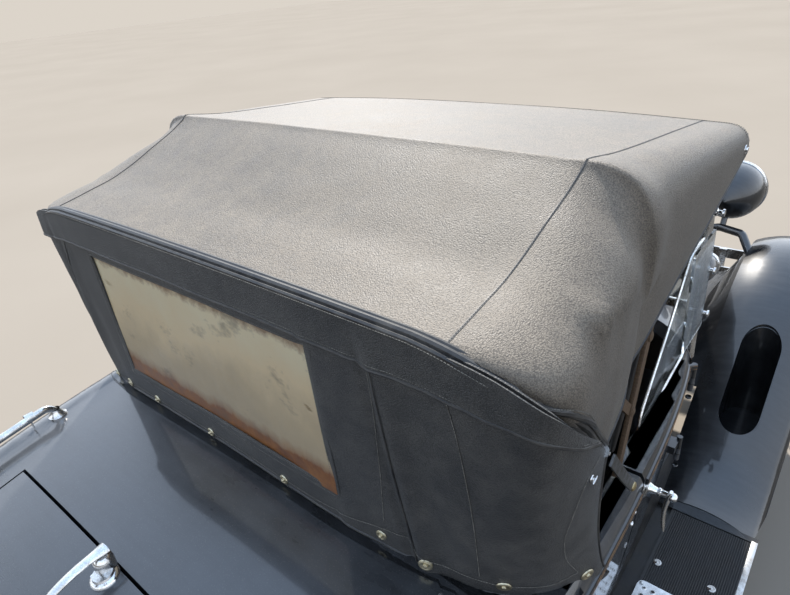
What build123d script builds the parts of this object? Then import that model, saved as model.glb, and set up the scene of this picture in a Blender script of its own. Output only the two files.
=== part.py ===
from build123d import *
from math import cos, hypot, radians, sin
import os

os.makedirs("parts", exist_ok=True)

# Roadster of the 1920s with a folding top and a rumble lid, in millimetres.
# +Z is up, the car faces -Y, its left side is +X, and the origin is on the ground
# below the middle of its length and width. A station is a distance behind the front axle.

# Driving dimensions of the chassis
FRONT_AXLE_Y = -1345.0
WHEELBASE = 2629.0
TRACK = 1422.0
TYRE_RADIUS = 387.0
TYRE_WIDTH = 115.0
RIM_RADIUS = 278.0
KINGPIN_X = 622.0
FRAME_TOP = 556.0
RAIL_HEIGHT = 96.0
RAIL_WIDTH = 50.0
RAIL_OUTER_X = 375.0
RAIL_FRONT = -430.0
RAIL_REAR = 3090.0
CROSS_WIDTH = 60.0

# Driving dimensions of the body
WALL = 42.0
FLOOR = 24.0
SILL_Z = FRAME_TOP
BELT_Z = 1100.0
FIREWALL = 920.0
POST = 1228.0
DOOR_FRONT = 1244.0
DOOR_REAR = 1722.0
DOOR_BOTTOM = 640.0
CABIN_REAR = 2128.0
TAIL = 3112.0
GAP = 6.0
DOOR_REAR_GAP = 10.0
HOOD_FRONT = 112.0
HOOD_TOP = 1165.0
HOOD_BOTTOM = 640.0
HOOD_SHEET = 5.0

# Driving dimensions of the rumble lid
LID_FRONT = 2440.0
LID_REAR = 3022.0
LID_HALF_FRONT = 421.0
LID_HALF_REAR = 352.0
LID_THICKNESS = 28.0

# Driving dimensions of the wings and running boards
WING_INNER_X = 545.0
WING_OUTER_X = 860.0
WING_SHEET = 5.0
BOARD_TOP = 357.0
BOARD_THICKNESS = 22.0
BOARD_INNER_X = 612.0
BOARD_FRONT = 1053.0
BOARD_REAR = 2124.0

# Driving dimensions of the folding top
HEADER = 1215.0
HEADER_Z = 1655.0
MID_BOW = 1782.0
MID_BOW_Z = 1722.0
REAR_BOW = 2147.0
REAR_BOW_Z = 1600.0
TOP_SHEET = 9.0


def along(station):
    """Row Y of a station, which is measured back from the front axle."""
    return FRONT_AXLE_Y + station


def block(x0, x1, s0, s1, z0, z1):
    """Straight block between two X, two stations and two heights."""
    middle = Pos((x0 + x1) / 2, along((s0 + s1) / 2), (z0 + z1) / 2)
    return middle * Box(abs(x1 - x0), abs(s1 - s0), abs(z1 - z0))


def rod(start, end, radius):
    """Round bar between two points given as x, station, z."""
    a = Vector(start[0], along(start[1]), start[2])
    b = Vector(end[0], along(end[1]), end[2])
    face = Plane(origin=a, z_dir=b - a) * Circle(radius)
    return extrude(face, amount=(b - a).length)


def bent_rod(points, radii, radius):
    """Round bar along straight runs joined by arcs."""
    path = FilletPolyline(*[(x, along(s), z) for x, s, z in points], radius=radii)
    face = Plane(origin=path @ 0, z_dir=path % 0) * Circle(radius)
    return sweep(face, path=path)


def disc(x0, x1, station, z, radius):
    """Round plate or hub about a line across the car."""
    face = Plane(origin=(x0, along(station), z), z_dir=(1, 0, 0)) * Circle(radius)
    return extrude(face, amount=x1 - x0)


def barrel(x, s0, s1, z, radius):
    """Round bar along the car."""
    face = Plane(origin=(x, along(s0), z), z_dir=(0, 1, 0)) * Circle(radius)
    return extrude(face, amount=s1 - s0)


def post(x, station, z0, z1, radius):
    """Upright round bar."""
    return Pos(x, along(station), (z0 + z1) / 2) * Cylinder(radius, z1 - z0)


def mirrored(shape):
    """The same piece on the other side of the car."""
    return mirror(shape, about=Plane.YZ)


def pair(shape):
    """A piece and its mirror image as one node of two solids."""
    return Compound(children=[shape, mirrored(shape)])


def joined(shapes):
    """All shapes fused in order."""
    whole = shapes[0]
    for shape in shapes[1:]:
        whole = whole + shape
    return whole


def largest(shape):
    """The biggest solid of a cut shape."""
    return sorted(shape.solids(), key=lambda piece: piece.volume)[-1]


def side_plate(points, x0, x1):
    """Plate with an outline in the side view, between two X."""
    outline = Polyline(*[(along(s), z) for s, z in points], close=True)
    face = Plane(origin=(x0, 0, 0), x_dir=(0, 1, 0), z_dir=(1, 0, 0)) * make_face(outline)
    return extrude(face, amount=x1 - x0)


def save(shape, name):
    export_step(shape, f"parts/{name}.step")


# A body section is a wire in an upright plane across the car. It has a flat bottom,
# bowed sides, round shoulders and a crowned top.
SIDE_BULGE = 10.0
SHOULDER_BULGE = 0.2


def section(row, inset=0.0, bottom=SILL_Z, lift=0.0):
    """Wire of one row of a station table, drawn in by an inset."""
    station, sill_half, belt_half, belt_z, top_half, shoulder_z, crown_z = row
    y = along(station)
    foot = Vector(sill_half - inset, y, bottom + lift)
    belt = Vector(belt_half - inset, y, belt_z)
    shoulder = Vector(top_half - inset * 0.6, y, shoulder_z - inset)
    crown = Vector(0, y, crown_z - inset)
    side_mid = (foot + belt) * 0.5 + Vector(SIDE_BULGE, 0, 0)
    run = shoulder - belt
    out = Vector(run.Z, 0, -run.X)
    shoulder_mid = (belt + shoulder) * 0.5 + out * SHOULDER_BULGE

    def other(point):
        return Vector(-point.X, point.Y, point.Z)

    edges = [
        Line(other(foot), foot),
        ThreePointArc(foot, side_mid, belt),
        ThreePointArc(belt, shoulder_mid, shoulder),
        ThreePointArc(shoulder, crown, other(shoulder)),
        ThreePointArc(other(shoulder), other(shoulder_mid), other(belt)),
        ThreePointArc(other(belt), other(side_mid), other(foot)),
    ]
    return Wire([edge.edge() for edge in edges])


# Columns: station, half width at the sill, half width at the belt, belt height,
# half width where the top starts, height there, height of the crown
BODY_ROWS = [
    (FIREWALL, 405, 470, 1000, 250, 1130, HOOD_TOP),
    (POST, 560, 606, 1080, 400, 1162, 1196),
    (DOOR_REAR, 596, 655, 1085, 560, 1132, 1165),
    (2150, 592, 650, 1062, 560, 1114, 1140),
    (2600, 562, 606, 1015, 500, 1082, 1108),
    (2960, 500, 530, 880, 420, 965, 990),
    (TAIL, 452, 468, 700, 380, 760, 776),
]


def body_outer():
    return Solid.make_loft([section(row) for row in BODY_ROWS])


def body_inner(inset):
    return Solid.make_loft([section(row, inset, lift=FLOOR) for row in BODY_ROWS])


# Chassis frame: two side rails and cross members, flush on top
REAR_SPRING_OFFSET = 200.0
CRANK_Z = 508.0
CRANK_RADIUS = 14.0
CROSS_LOW = FRAME_TOP - RAIL_HEIGHT + 12
CROSS_STATIONS = [
    RAIL_FRONT, -CROSS_WIDTH / 2, 300.0, 1180.0, 2050.0,
    WHEELBASE + REAR_SPRING_OFFSET - CROSS_WIDTH / 2, RAIL_REAR - CROSS_WIDTH,
]


def make_frame():
    low = FRAME_TOP - RAIL_HEIGHT
    inner = RAIL_OUTER_X - RAIL_WIDTH
    rails = [
        block(inner, RAIL_OUTER_X, RAIL_FRONT, RAIL_REAR, low, FRAME_TOP),
        block(-RAIL_OUTER_X, -inner, RAIL_FRONT, RAIL_REAR, low, FRAME_TOP),
    ]
    crosses = [
        block(-inner, inner, s, s + CROSS_WIDTH, CROSS_LOW, FRAME_TOP - 6)
        for s in CROSS_STATIONS
    ]
    crank_hole = barrel(0, RAIL_FRONT - 10, RAIL_FRONT + CROSS_WIDTH + 10, CRANK_Z, CRANK_RADIUS)
    return joined(rails + crosses) - crank_hole


# Engine and gearbox as one plain block at their real place and size
ENGINE_FRONT = 170.0
ENGINE_REAR = 905.0
ENGINE_HALF = 190.0
ENGINE_TOP = 930.0
GEARBOX_REAR = 1165.0
GEARBOX_HALF = 110.0
CRANKCASE_Z = 400.0


def make_engine():
    engine = block(-ENGINE_HALF, ENGINE_HALF, ENGINE_FRONT, ENGINE_REAR, FRAME_TOP + 1, ENGINE_TOP)
    case_half = ENGINE_HALF - 40
    case = block(-case_half, case_half, CROSS_STATIONS[2] + CROSS_WIDTH + 2, ENGINE_REAR,
                 CRANKCASE_Z, FRAME_TOP + 1)
    gearbox = block(-GEARBOX_HALF, GEARBOX_HALF, ENGINE_REAR, GEARBOX_REAR,
                    CRANKCASE_Z, SILL_Z - 2)
    return joined([engine, case, gearbox])


# Front axle: dropped beam with an eye at each kingpin, carried by one cross spring
AXLE_DROP = 60.0
BEAM_HALF_DEPTH = 26.0
KNUCKLE_EYE_RADIUS = 26.0
KNUCKLE_EYE_HALF = 38.0
KINGPIN_RADIUS = 11.0
PIN_CLEARANCE = 0.05
SPRING_WIDTH = 46.0


def make_front_axle():
    z = TYRE_RADIUS
    inner = KINGPIN_X - KNUCKLE_EYE_RADIUS + 6
    low = z - AXLE_DROP
    d = BEAM_HALF_DEPTH
    outline = Polyline(
        (-inner, z + d), (-inner, z - d), (-inner + 110, low - d), (inner - 110, low - d),
        (inner, z - d), (inner, z + d), (inner - 110, low + d), (-inner + 110, low + d),
        close=True,
    )
    face = Plane(origin=(0, along(18), 0), x_dir=(1, 0, 0), z_dir=(0, -1, 0)) * make_face(outline)
    beam = extrude(face, amount=36)
    whole = beam
    for side in (-1, 1):
        eye = post(side * KINGPIN_X, 0, z - KNUCKLE_EYE_HALF, z + KNUCKLE_EYE_HALF,
                   KNUCKLE_EYE_RADIUS)
        bore = post(side * KINGPIN_X, 0, z - 60, z + 60, KINGPIN_RADIUS + PIN_CLEARANCE)
        whole = whole + eye - bore
    spring = cross_spring(0, low + d, CROSS_LOW, inner - 150)
    return whole + spring


def cross_spring(station, low, high, half):
    """Arched leaf spring across the car with a perch block at each end."""
    s0 = station - SPRING_WIDTH / 2
    s1 = station + SPRING_WIDTH / 2
    leaf = 40.0
    outline = Polyline(
        (-half, low + 30), (-half, low + 42), (-half / 2, high - 18), (0, high), (half / 2, high - 18),
        (half, low + 42), (half, low + 30), (half / 2, high - 18 - leaf * 0.6), (0, high - leaf),
        (-half / 2, high - 18 - leaf * 0.6), close=True,
    )
    face = Plane(origin=(0, along(s1), 0), x_dir=(1, 0, 0), z_dir=(0, -1, 0)) * make_face(outline)
    spring = extrude(face, amount=SPRING_WIDTH)
    for side in (-1, 1):
        perch = block(side * (half - 34), side * half, s0, s1, low - 6, low + 40)
        spring = spring + perch
    clamp = block(-52, 52, s0 - 8, s1 + 8, high - leaf - 8, high)
    return spring + clamp


# Rear axle: housing, round differential case, torque tube and its cross spring
HOUSING_RADIUS = 42.0
CASE_RADIUS = 138.0
HUB_FACE = 640.0
TORQUE_TUBE_RADIUS = 34.0
TORQUE_TUBE_Z = CROSS_LOW - TORQUE_TUBE_RADIUS - 4


def make_rear_axle():
    s = WHEELBASE
    z = TYRE_RADIUS
    housing = disc(-HUB_FACE, HUB_FACE, s, z, HOUSING_RADIUS)
    ball = Pos(0, along(s), z) * Sphere(CASE_RADIUS)
    tube = rod((0, GEARBOX_REAR + 1, TORQUE_TUBE_Z), (0, s - 90, z + 8), TORQUE_TUBE_RADIUS)
    plates = [
        disc(side * HUB_FACE - 4, side * HUB_FACE + 4, s, z, DRUM_RADIUS - 6) for side in (-1, 1)
    ]
    spring = cross_spring(s + REAR_SPRING_OFFSET, z + 20, CROSS_LOW, 480)
    arms = [
        block(side * 450, side * 482, s + 30, s + REAR_SPRING_OFFSET, z - 20, z + 34)
        for side in (-1, 1)
    ]
    return joined([housing, ball, tube] + plates + arms + [spring])


# Wheel: well-base rim, wire spokes, hub with a cap, and the brake drum
DRUM_RADIUS = 148.0
DRUM_INNER_X = 650.0
DRUM_DEPTH = 46.0
RIM_HALF = 52.0
HUB_RADIUS = 58.0
HUB_OUTER_X = 792.0
SPOKES = 30
SPOKE_RADIUS = 4.0


def turned(profile, station):
    """Ring turned about the wheel's axis from (x, radius) points."""
    outline = Polyline(*[(x, r) for x, r in profile], close=True)
    plane = Plane(origin=(0, along(station), TYRE_RADIUS), x_dir=(1, 0, 0), z_dir=(0, -1, 0))
    face = plane * make_face(outline)
    axis = Axis((0, along(station), TYRE_RADIUS), (1, 0, 0))
    return revolve(face, axis=axis)


def make_tyre(station):
    x = TRACK / 2
    half = TYRE_WIDTH / 2
    wall = TYRE_RADIUS - RIM_RADIUS
    # Columns: share of the half width, share of the wall height
    shoulder = [(0.62, 0.0), (0.86, 0.34), (1.0, 0.62), (0.86, 0.86), (0.62, 0.97)]
    outer = [(x + half * a, RIM_RADIUS + wall * b) for a, b in shoulder]
    inner = [(x - half * a, RIM_RADIUS + wall * b) for a, b in reversed(shoulder)]
    crown = [(x, TYRE_RADIUS)]
    return turned(outer + crown + inner, station)


def make_wheel(station):
    x = TRACK / 2
    rim = turned([
        (x - RIM_HALF, RIM_RADIUS + 14), (x - RIM_HALF, RIM_RADIUS - 6), (x - 26, RIM_RADIUS - 10),
        (x - 18, RIM_RADIUS - 26), (x + 18, RIM_RADIUS - 26), (x + 26, RIM_RADIUS - 10),
        (x + RIM_HALF, RIM_RADIUS - 6), (x + RIM_HALF, RIM_RADIUS + 14),
        (x + RIM_HALF - 8, RIM_RADIUS + 14), (x + RIM_HALF - 12, RIM_RADIUS),
        (x - RIM_HALF + 12, RIM_RADIUS), (x - RIM_HALF + 8, RIM_RADIUS + 14),
    ], station)
    bore = SPINDLE_RADIUS + PIN_CLEARANCE
    hub = turned([
        (DRUM_INNER_X + DRUM_DEPTH, bore), (DRUM_INNER_X + DRUM_DEPTH, HUB_RADIUS + 12),
        (x, HUB_RADIUS), (x + 40, HUB_RADIUS - 6), (HUB_OUTER_X, 30), (HUB_OUTER_X, bore),
    ], station)
    drum = turned([
        (DRUM_INNER_X + 6, DRUM_RADIUS - 8), (DRUM_INNER_X + 6, DRUM_RADIUS),
        (DRUM_INNER_X + DRUM_DEPTH + 6, DRUM_RADIUS), (DRUM_INNER_X + DRUM_DEPTH + 6, bore),
        (DRUM_INNER_X + DRUM_DEPTH - 4, bore), (DRUM_INNER_X + DRUM_DEPTH - 4, DRUM_RADIUS - 8),
    ], station)
    wheel = rim + hub + drum
    for i in range(SPOKES):
        angle = 360.0 * i / SPOKES
        outboard = i % 2 == 0
        hub_x = x + 34 if outboard else DRUM_INNER_X + DRUM_DEPTH + 12
        rim_x = x - 6 if outboard else x + 6
        twist = 16.0 if i % 4 < 2 else -16.0
        a = radians(angle + twist)
        b = radians(angle)
        start = (hub_x, station + (HUB_RADIUS - 10) * cos(a), TYRE_RADIUS + (HUB_RADIUS - 10) * sin(a))
        end = (rim_x, station + (RIM_RADIUS - 16) * cos(b), TYRE_RADIUS + (RIM_RADIUS - 16) * sin(b))
        wheel = wheel + rod(start, end, SPOKE_RADIUS)
    return wheel


# Knuckle: kingpin, upper and lower ears, spindle, back plate and steering arm
SPINDLE_RADIUS = 18.0
EAR_GAP = 1.0
EAR_HEIGHT = 20.0
ARM_REAR = 150.0
ARM_DROP = 40.0
ARM_X = KINGPIN_X
BALL_RADIUS = 10.0
SPINDLE_LENGTH = 132.0


def make_knuckle(side):
    z = TYRE_RADIUS
    top = z + KNUCKLE_EYE_HALF + EAR_GAP
    low = z - KNUCKLE_EYE_HALF - EAR_GAP
    x = KINGPIN_X
    pin = post(x, 0, low - EAR_HEIGHT, top + EAR_HEIGHT, KINGPIN_RADIUS)
    upper = post(x, 0, top, top + EAR_HEIGHT, KNUCKLE_EYE_RADIUS)
    lower = post(x, 0, low - EAR_HEIGHT, low, KNUCKLE_EYE_RADIUS)
    # the web stands outboard of the axle's eye
    web_x = x + KNUCKLE_EYE_RADIUS + 2
    upper_lug = block(x, web_x + 8, -16, 16, top, top + EAR_HEIGHT)
    lower_lug = block(x, web_x + 8, -16, 16, low - EAR_HEIGHT, low)
    web = disc(web_x, web_x + 8, 0, z, DRUM_RADIUS - 14)
    spindle = disc(web_x, web_x + SPINDLE_LENGTH, 0, z, SPINDLE_RADIUS)
    arm_z = low - EAR_HEIGHT / 2
    arm = rod((x, 0, arm_z), (ARM_X, ARM_REAR, arm_z), 11)
    ball = post(ARM_X, ARM_REAR, arm_z - ARM_DROP, arm_z + 8, BALL_RADIUS)
    whole = joined([pin, upper, lower, upper_lug, lower_lug, web, spindle, arm, ball])
    return whole if side > 0 else mirrored(whole)


TIE_EYE_RADIUS = 19.0
TIE_EYE_HALF = 12.0
OPEN_PIVOT_CLEARANCE = 0.5


def make_tie_rod():
    arm_z = TYRE_RADIUS - KNUCKLE_EYE_HALF - EAR_GAP - EAR_HEIGHT / 2
    z = arm_z - 11 - 6 - TIE_EYE_HALF
    bar = rod((-ARM_X, ARM_REAR, z), (ARM_X, ARM_REAR, z), 10)
    for side in (-1, 1):
        bar = bar + post(side * ARM_X, ARM_REAR, z - TIE_EYE_HALF, z + TIE_EYE_HALF, TIE_EYE_RADIUS)
    left = post(ARM_X, ARM_REAR, z - 40, z + 40, BALL_RADIUS + PIN_CLEARANCE)
    right = post(-ARM_X, ARM_REAR, z - 40, z + 40, BALL_RADIUS + OPEN_PIVOT_CLEARANCE)
    return bar - left - right


# Wings: an arch over the wheel, a straight fall and a reverse arc to the running board.
# Columns of the arch: station and height of its centre, radius
FRONT_ARCH = (80.0, 370.0, 560.0)
REAR_ARCH = (2640.0, 370.0, 520.0)
FRONT_TIP_ANGLE = 172.0
REAR_TIP_ANGLE = 12.0
FALL_ANGLE = 43.0
REVERSE_RADIUS = 350.0
WING_RISE = 20.0
WING_CROWN = 30.0
WING_LIP = 82.0
REAR_WING_INNER_X = 470.0


def front_wing_points():
    """Where the arch ends, where the straight fall ends, and where the board starts."""
    s_c, z_c, r = FRONT_ARCH
    a = radians(90 - FALL_ANGLE)
    fall = radians(FALL_ANGLE)
    arch_end = (s_c + r * cos(a), z_c + r * sin(a))
    rise = REVERSE_RADIUS * (1 - cos(fall))
    low = BOARD_TOP + WING_RISE
    length = (arch_end[1] - low - rise) / sin(fall)
    fall_end = (arch_end[0] + length * cos(fall), arch_end[1] - length * sin(fall))
    join = (fall_end[0] + REVERSE_RADIUS * sin(fall), low)
    return arch_end, fall_end, join


BOARD_FRONT = front_wing_points()[2][0]


def wing_profile(inner_x, path):
    """Crowned sheet with a rolled outer lip, square to the path's start."""
    t = WING_SHEET
    lip_x = WING_OUTER_X - 22
    middle = (inner_x + lip_x) / 2
    edges = [
        ThreePointArc((inner_x, -WING_CROWN), (middle, 6), (lip_x, -WING_CROWN - 4)),
        ThreePointArc((lip_x, -WING_CROWN - 4), (WING_OUTER_X - 5, -WING_CROWN - 20),
                      (WING_OUTER_X, -WING_LIP)),
        Line((WING_OUTER_X, -WING_LIP), (WING_OUTER_X - t, -WING_LIP)),
        ThreePointArc((WING_OUTER_X - t, -WING_LIP), (WING_OUTER_X - 10, -WING_CROWN - 23),
                      (lip_x - 3, -WING_CROWN - 9)),
        ThreePointArc((lip_x - 3, -WING_CROWN - 9), (middle, 6 - t), (inner_x, -WING_CROWN - t)),
        Line((inner_x, -WING_CROWN - t), (inner_x, -WING_CROWN)),
    ]
    face = make_face(Wire([edge.edge() for edge in edges]).edges())
    start = path @ 0
    heading = path % 0
    plane = Plane(origin=(0, start.Y, start.Z), x_dir=(1, 0, 0), z_dir=heading)
    return plane * face


VALANCE_TIP_ANGLE = 150.0
VALANCE_FRONT = -360.0
WELL_FRONT = 462.0
WELL_REAR = 762.0
WELL_X = 700.0
WELL_HALF = 62.0
WELL_FLOOR = 400.0
WELL_SHEET = 4.0


def stadium(x, s0, s1, half, z0, z1):
    """Upright slot prism with round ends, long along the car."""
    slot = SlotOverall(s1 - s0, 2 * half, rotation=90)
    return extrude(Plane(origin=(x, along((s0 + s1) / 2), z0)) * slot, amount=z1 - z0)


def band(x, upper, lower):
    """Closed wire in the side plane at x between an upper and a lower run of (station, z)."""
    def run(points):
        places = [Vector(x, along(s), z) for s, z in points]
        return ThreePointArc(*places) if len(places) == 3 else Line(*places)

    first = run(upper)
    second = run(list(reversed(lower)))
    ends = [Line(first @ 1, second @ 0), Line(second @ 1, first @ 0)]
    return Wire([first.edge(), ends[0].edge(), second.edge(), ends[1].edge()])


def front_valance():
    """Skirt from the wing's inner edge down to the frame, under the arch and the fall."""
    arch_end, fall_end, join = front_wing_points()
    s_c, z_c, r = FRONT_ARCH
    upper_r = r - WING_CROWN - 1
    lower_r = upper_r - WING_SHEET
    x = WING_INNER_X + 4
    low = FRAME_TOP - WING_SHEET

    def on_arch(radius, degrees_up):
        a = radians(degrees_up)
        return (s_c + radius * cos(a), z_c + radius * sin(a))

    tip = VALANCE_TIP_ANGLE
    rear = 90 - FALL_ANGLE
    angles = (tip, (tip + rear) / 2, rear)
    upper = [on_arch(upper_r, a) for a in angles]
    lower = [on_arch(lower_r, a) for a in angles]
    rail = [(VALANCE_FRONT, FRAME_TOP), (s_c, FRAME_TOP + 1), (upper[2][0], FRAME_TOP)]
    rail_low = [(VALANCE_FRONT, low), (s_c, low + 1), (upper[2][0], low)]
    arch = Solid.make_loft([band(x, upper, lower), band(RAIL_OUTER_X, rail, rail_low)], True)
    share = (upper[2][1] - FRAME_TOP - 12) / sin(radians(FALL_ANGLE))
    step = (share * cos(radians(FALL_ANGLE)), -share * sin(radians(FALL_ANGLE)))
    fall_up = [upper[2], (upper[2][0] + step[0], upper[2][1] + step[1])]
    fall_low = [lower[2], (lower[2][0] + step[0], lower[2][1] + step[1])]
    foot = [(upper[2][0], FRAME_TOP), (fall_up[1][0], FRAME_TOP)]
    foot_low = [(upper[2][0], low), (fall_up[1][0], low)]
    fall = Solid.make_loft([band(x, fall_up, fall_low), band(RAIL_OUTER_X, foot, foot_low)], True)
    return arch + fall


def make_front_wing():
    arch_end, fall_end, join = front_wing_points()
    s_c, z_c, r = FRONT_ARCH
    sweep_angle = FRONT_TIP_ANGLE - (90 - FALL_ANGLE)
    first = JernArc((along(join[0]), join[1]), (-1, 0), REVERSE_RADIUS, -FALL_ANGLE)
    second = Line((along(fall_end[0]), fall_end[1]), (along(arch_end[0]), arch_end[1]))
    third = JernArc((along(arch_end[0]), arch_end[1]), second % 1, r, sweep_angle)
    path = Plane.YZ * Wire([first.edge(), second.edge(), third.edge()])
    wing = sweep(wing_profile(WING_INNER_X, path), path=path)
    wing = wing - block(0, 1000, fall_end[0], join[0] + 60, 0, BOARD_TOP - BOARD_THICKNESS)
    valance = front_valance()
    # well for a spare wheel, sunk into the fall of the wing
    t = WELL_SHEET
    tall = stadium(WELL_X, WELL_FRONT - t, WELL_REAR + t, WELL_HALF + t, WELL_FLOOR, 1000)
    hole = stadium(WELL_X, WELL_FRONT, WELL_REAR, WELL_HALF, WELL_FLOOR + t, 1000)
    line = side_plate([
        (s_c + 200, 300), (s_c + 200, z_c + r),
        (arch_end[0] + 4, arch_end[1] - 4), (fall_end[0] + 4, fall_end[1] - 4),
        (fall_end[0] + 4, 300)], 0, 900) & (disc(0, 900, s_c, z_c, r - 4) + side_plate([
            (s_c, z_c), (arch_end[0] - 2, arch_end[1] - 4), (fall_end[0] + 4, fall_end[1] - 4),
            (fall_end[0] + 4, 300), (s_c, 300)], 0, 900))
    well = tall & line
    return wing + valance + well - hole


def make_rear_wing(body):
    s_c, z_c, r = REAR_ARCH
    a = radians(REAR_TIP_ANGLE)
    start = (along(s_c + r * cos(a)), z_c + r * sin(a))
    heading = (-sin(a), cos(a))
    arc = JernArc(start, heading, r, 180 - REAR_TIP_ANGLE)
    path = Plane.YZ * Wire([arc.edge()])
    wing = sweep(wing_profile(REAR_WING_INNER_X, path), path=path)
    wing = wing - block(0, 1000, s_c - r - 60, s_c - r + 200, 0, BOARD_TOP - BOARD_THICKNESS)
    wing = wing - body
    return largest(wing)


def make_running_board():
    """Board with its splash apron up to the body's sill."""
    board = block(BOARD_INNER_X, WING_OUTER_X, BOARD_FRONT + 1, BOARD_REAR,
                  BOARD_TOP - BOARD_THICKNESS, BOARD_TOP)
    apron = side_plate([
        (BOARD_FRONT - 110, SILL_Z), (BOARD_FRONT - 110, 430), (BOARD_FRONT + 1, BOARD_TOP - 16),
        (BOARD_REAR, BOARD_TOP - 16), (BOARD_REAR, SILL_Z)], 560, 566)
    shelf = block(560, BOARD_INNER_X + 1, BOARD_FRONT + 1, BOARD_REAR,
                  BOARD_TOP - 16, BOARD_TOP - 10)
    irons = [
        block(RAIL_OUTER_X, BOARD_INNER_X + 100, s, s + 40, BOARD_TOP - BOARD_THICKNESS - 14,
              BOARD_TOP - BOARD_THICKNESS)
        for s in (BOARD_FRONT + 160, BOARD_REAR - 300)
    ]
    hangers = [
        block(RAIL_OUTER_X, RAIL_OUTER_X + 12, s, s + 40,
              BOARD_TOP - BOARD_THICKNESS - 14, FRAME_TOP - 6)
        for s in (BOARD_FRONT + 160, BOARD_REAR - 300)
    ]
    return joined([board, apron, shelf] + irons + hangers)


# Hood: two halves hinged along the middle
# Columns as in the body's table
HOOD_ROWS = [
    (HOOD_FRONT + GAP, 226, 262, 1000, 150, 1132, HOOD_TOP),
    (FIREWALL - GAP, 432, 470, 1000, 250, 1130, HOOD_TOP),
]
HOOD_SPLIT = 8.0
HOOD_HINGE_RADIUS = 3.5


def beyond(rows, extra):
    """Two rows pushed apart along the car on their own straight lines."""
    first, last = rows
    share = extra / (last[0] - first[0])
    front = tuple(a - (b - a) * share for a, b in zip(first, last))
    back = tuple(b + (b - a) * share for a, b in zip(first, last))
    return [front, back]


def make_hood():
    outer = Solid.make_loft([section(row, bottom=HOOD_BOTTOM) for row in HOOD_ROWS], True)
    rows = beyond(HOOD_ROWS, 20)
    inner = Solid.make_loft(
        [section(row, HOOD_SHEET, bottom=HOOD_BOTTOM, lift=-30) for row in rows], True)
    shell = outer - inner
    return shell & block(HOOD_SPLIT, 900, 0, FIREWALL + 50, HOOD_BOTTOM - 50, HOOD_TOP + 50)


# Radiator: bright shell round a core
RADIATOR_FRONT = 20.0
RADIATOR_BOTTOM = FRAME_TOP
SHELL_RIM = 26.0
RADIATOR_ROW = (228, 266, 1000, 152, 1138, HOOD_TOP + 6)


def radiator_face(station, inset, bottom):
    return make_face(section((station,) + RADIATOR_ROW, inset, bottom=bottom).edges())


def make_radiator_shell():
    depth = HOOD_FRONT - RADIATOR_FRONT
    outer = extrude(radiator_face(RADIATOR_FRONT, 0, RADIATOR_BOTTOM), amount=depth, dir=(0, 1, 0))
    hole = extrude(radiator_face(RADIATOR_FRONT - 20, SHELL_RIM, RADIATOR_BOTTOM + SHELL_RIM),
                   amount=depth + 60, dir=(0, 1, 0))
    cap = post(0, RADIATOR_FRONT + 40, HOOD_TOP - 6, HOOD_TOP + 34, 30)
    hinge = barrel(0, HOOD_FRONT - 2, FIREWALL - 1, HOOD_TOP, HOOD_HINGE_RADIUS)
    return outer - hole + cap + hinge


def make_radiator_core():
    depth = HOOD_FRONT - RADIATOR_FRONT - 24
    core = extrude(radiator_face(RADIATOR_FRONT + 12, SHELL_RIM, RADIATOR_BOTTOM + SHELL_RIM),
                   amount=depth, dir=(0, 1, 0))
    return core


# Headlamps on stems from an arched bar between the wings
LAMP_X = 409.0
LAMP_S = -114.0
LAMP_Z = 1049.0
LAMP_RADIUS = 118.0
LAMP_FRONT = -196.0
LAMP_DEPTH = 205.0
BAR_RADIUS = 16.0


def lamp_bowl():
    outline = [
        Line((0, LAMP_FRONT + 10), (LAMP_RADIUS - 10, LAMP_FRONT + 10)),
        Line((LAMP_RADIUS - 10, LAMP_FRONT + 10), (LAMP_RADIUS - 10, LAMP_FRONT)),
        Line((LAMP_RADIUS - 10, LAMP_FRONT), (LAMP_RADIUS, LAMP_FRONT)),
        Line((LAMP_RADIUS, LAMP_FRONT), (LAMP_RADIUS, LAMP_FRONT + 26)),
        ThreePointArc((LAMP_RADIUS, LAMP_FRONT + 26), (LAMP_RADIUS * 0.78, LAMP_FRONT + 130),
                      (0, LAMP_FRONT + LAMP_DEPTH)),
        Line((0, LAMP_FRONT + LAMP_DEPTH), (0, LAMP_FRONT + 10)),
    ]
    face = make_face(Wire([edge.edge() for edge in outline]).edges())
    plane = Plane(origin=(LAMP_X, FRONT_AXLE_Y, LAMP_Z), x_dir=(1, 0, 0), z_dir=(0, 0, 1))
    axis = Axis((LAMP_X, FRONT_AXLE_Y, LAMP_Z), (0, 1, 0))
    return revolve(plane * face, axis=axis)


def make_headlamps():
    half = [(556, 96, 872), (500, 20, 930), (400, -62, 912), (190, -90, 850)]
    points = half + [(-x, s, z) for x, s, z in reversed(half)]
    bar = bent_rod(points, 40.0, BAR_RADIUS)
    whole = bar
    for side in (-1, 1):
        stem = rod((side * LAMP_X, -56, 908), (side * LAMP_X, LAMP_S + 26, LAMP_Z - 90), 12)
        whole = whole + stem
    bowl = lamp_bowl()
    return whole + bowl + mirrored(bowl)


def make_lenses():
    lens = barrel(LAMP_X, LAMP_FRONT + 2, LAMP_FRONT + 10, LAMP_Z, LAMP_RADIUS - 10)
    return lens


# Bumpers: two flat bars in front, a short pair at each rear corner
BUMPER_FRONT = -600.0
BUMPER_REAR = 3290.0
BUMPER_HALF = 790.0
BUMPER_BARS = (430.0, 538.0)
BUMPER_BAR_HEIGHT = 52.0
BUMPER_BAR_DEPTH = 12.0


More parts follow.
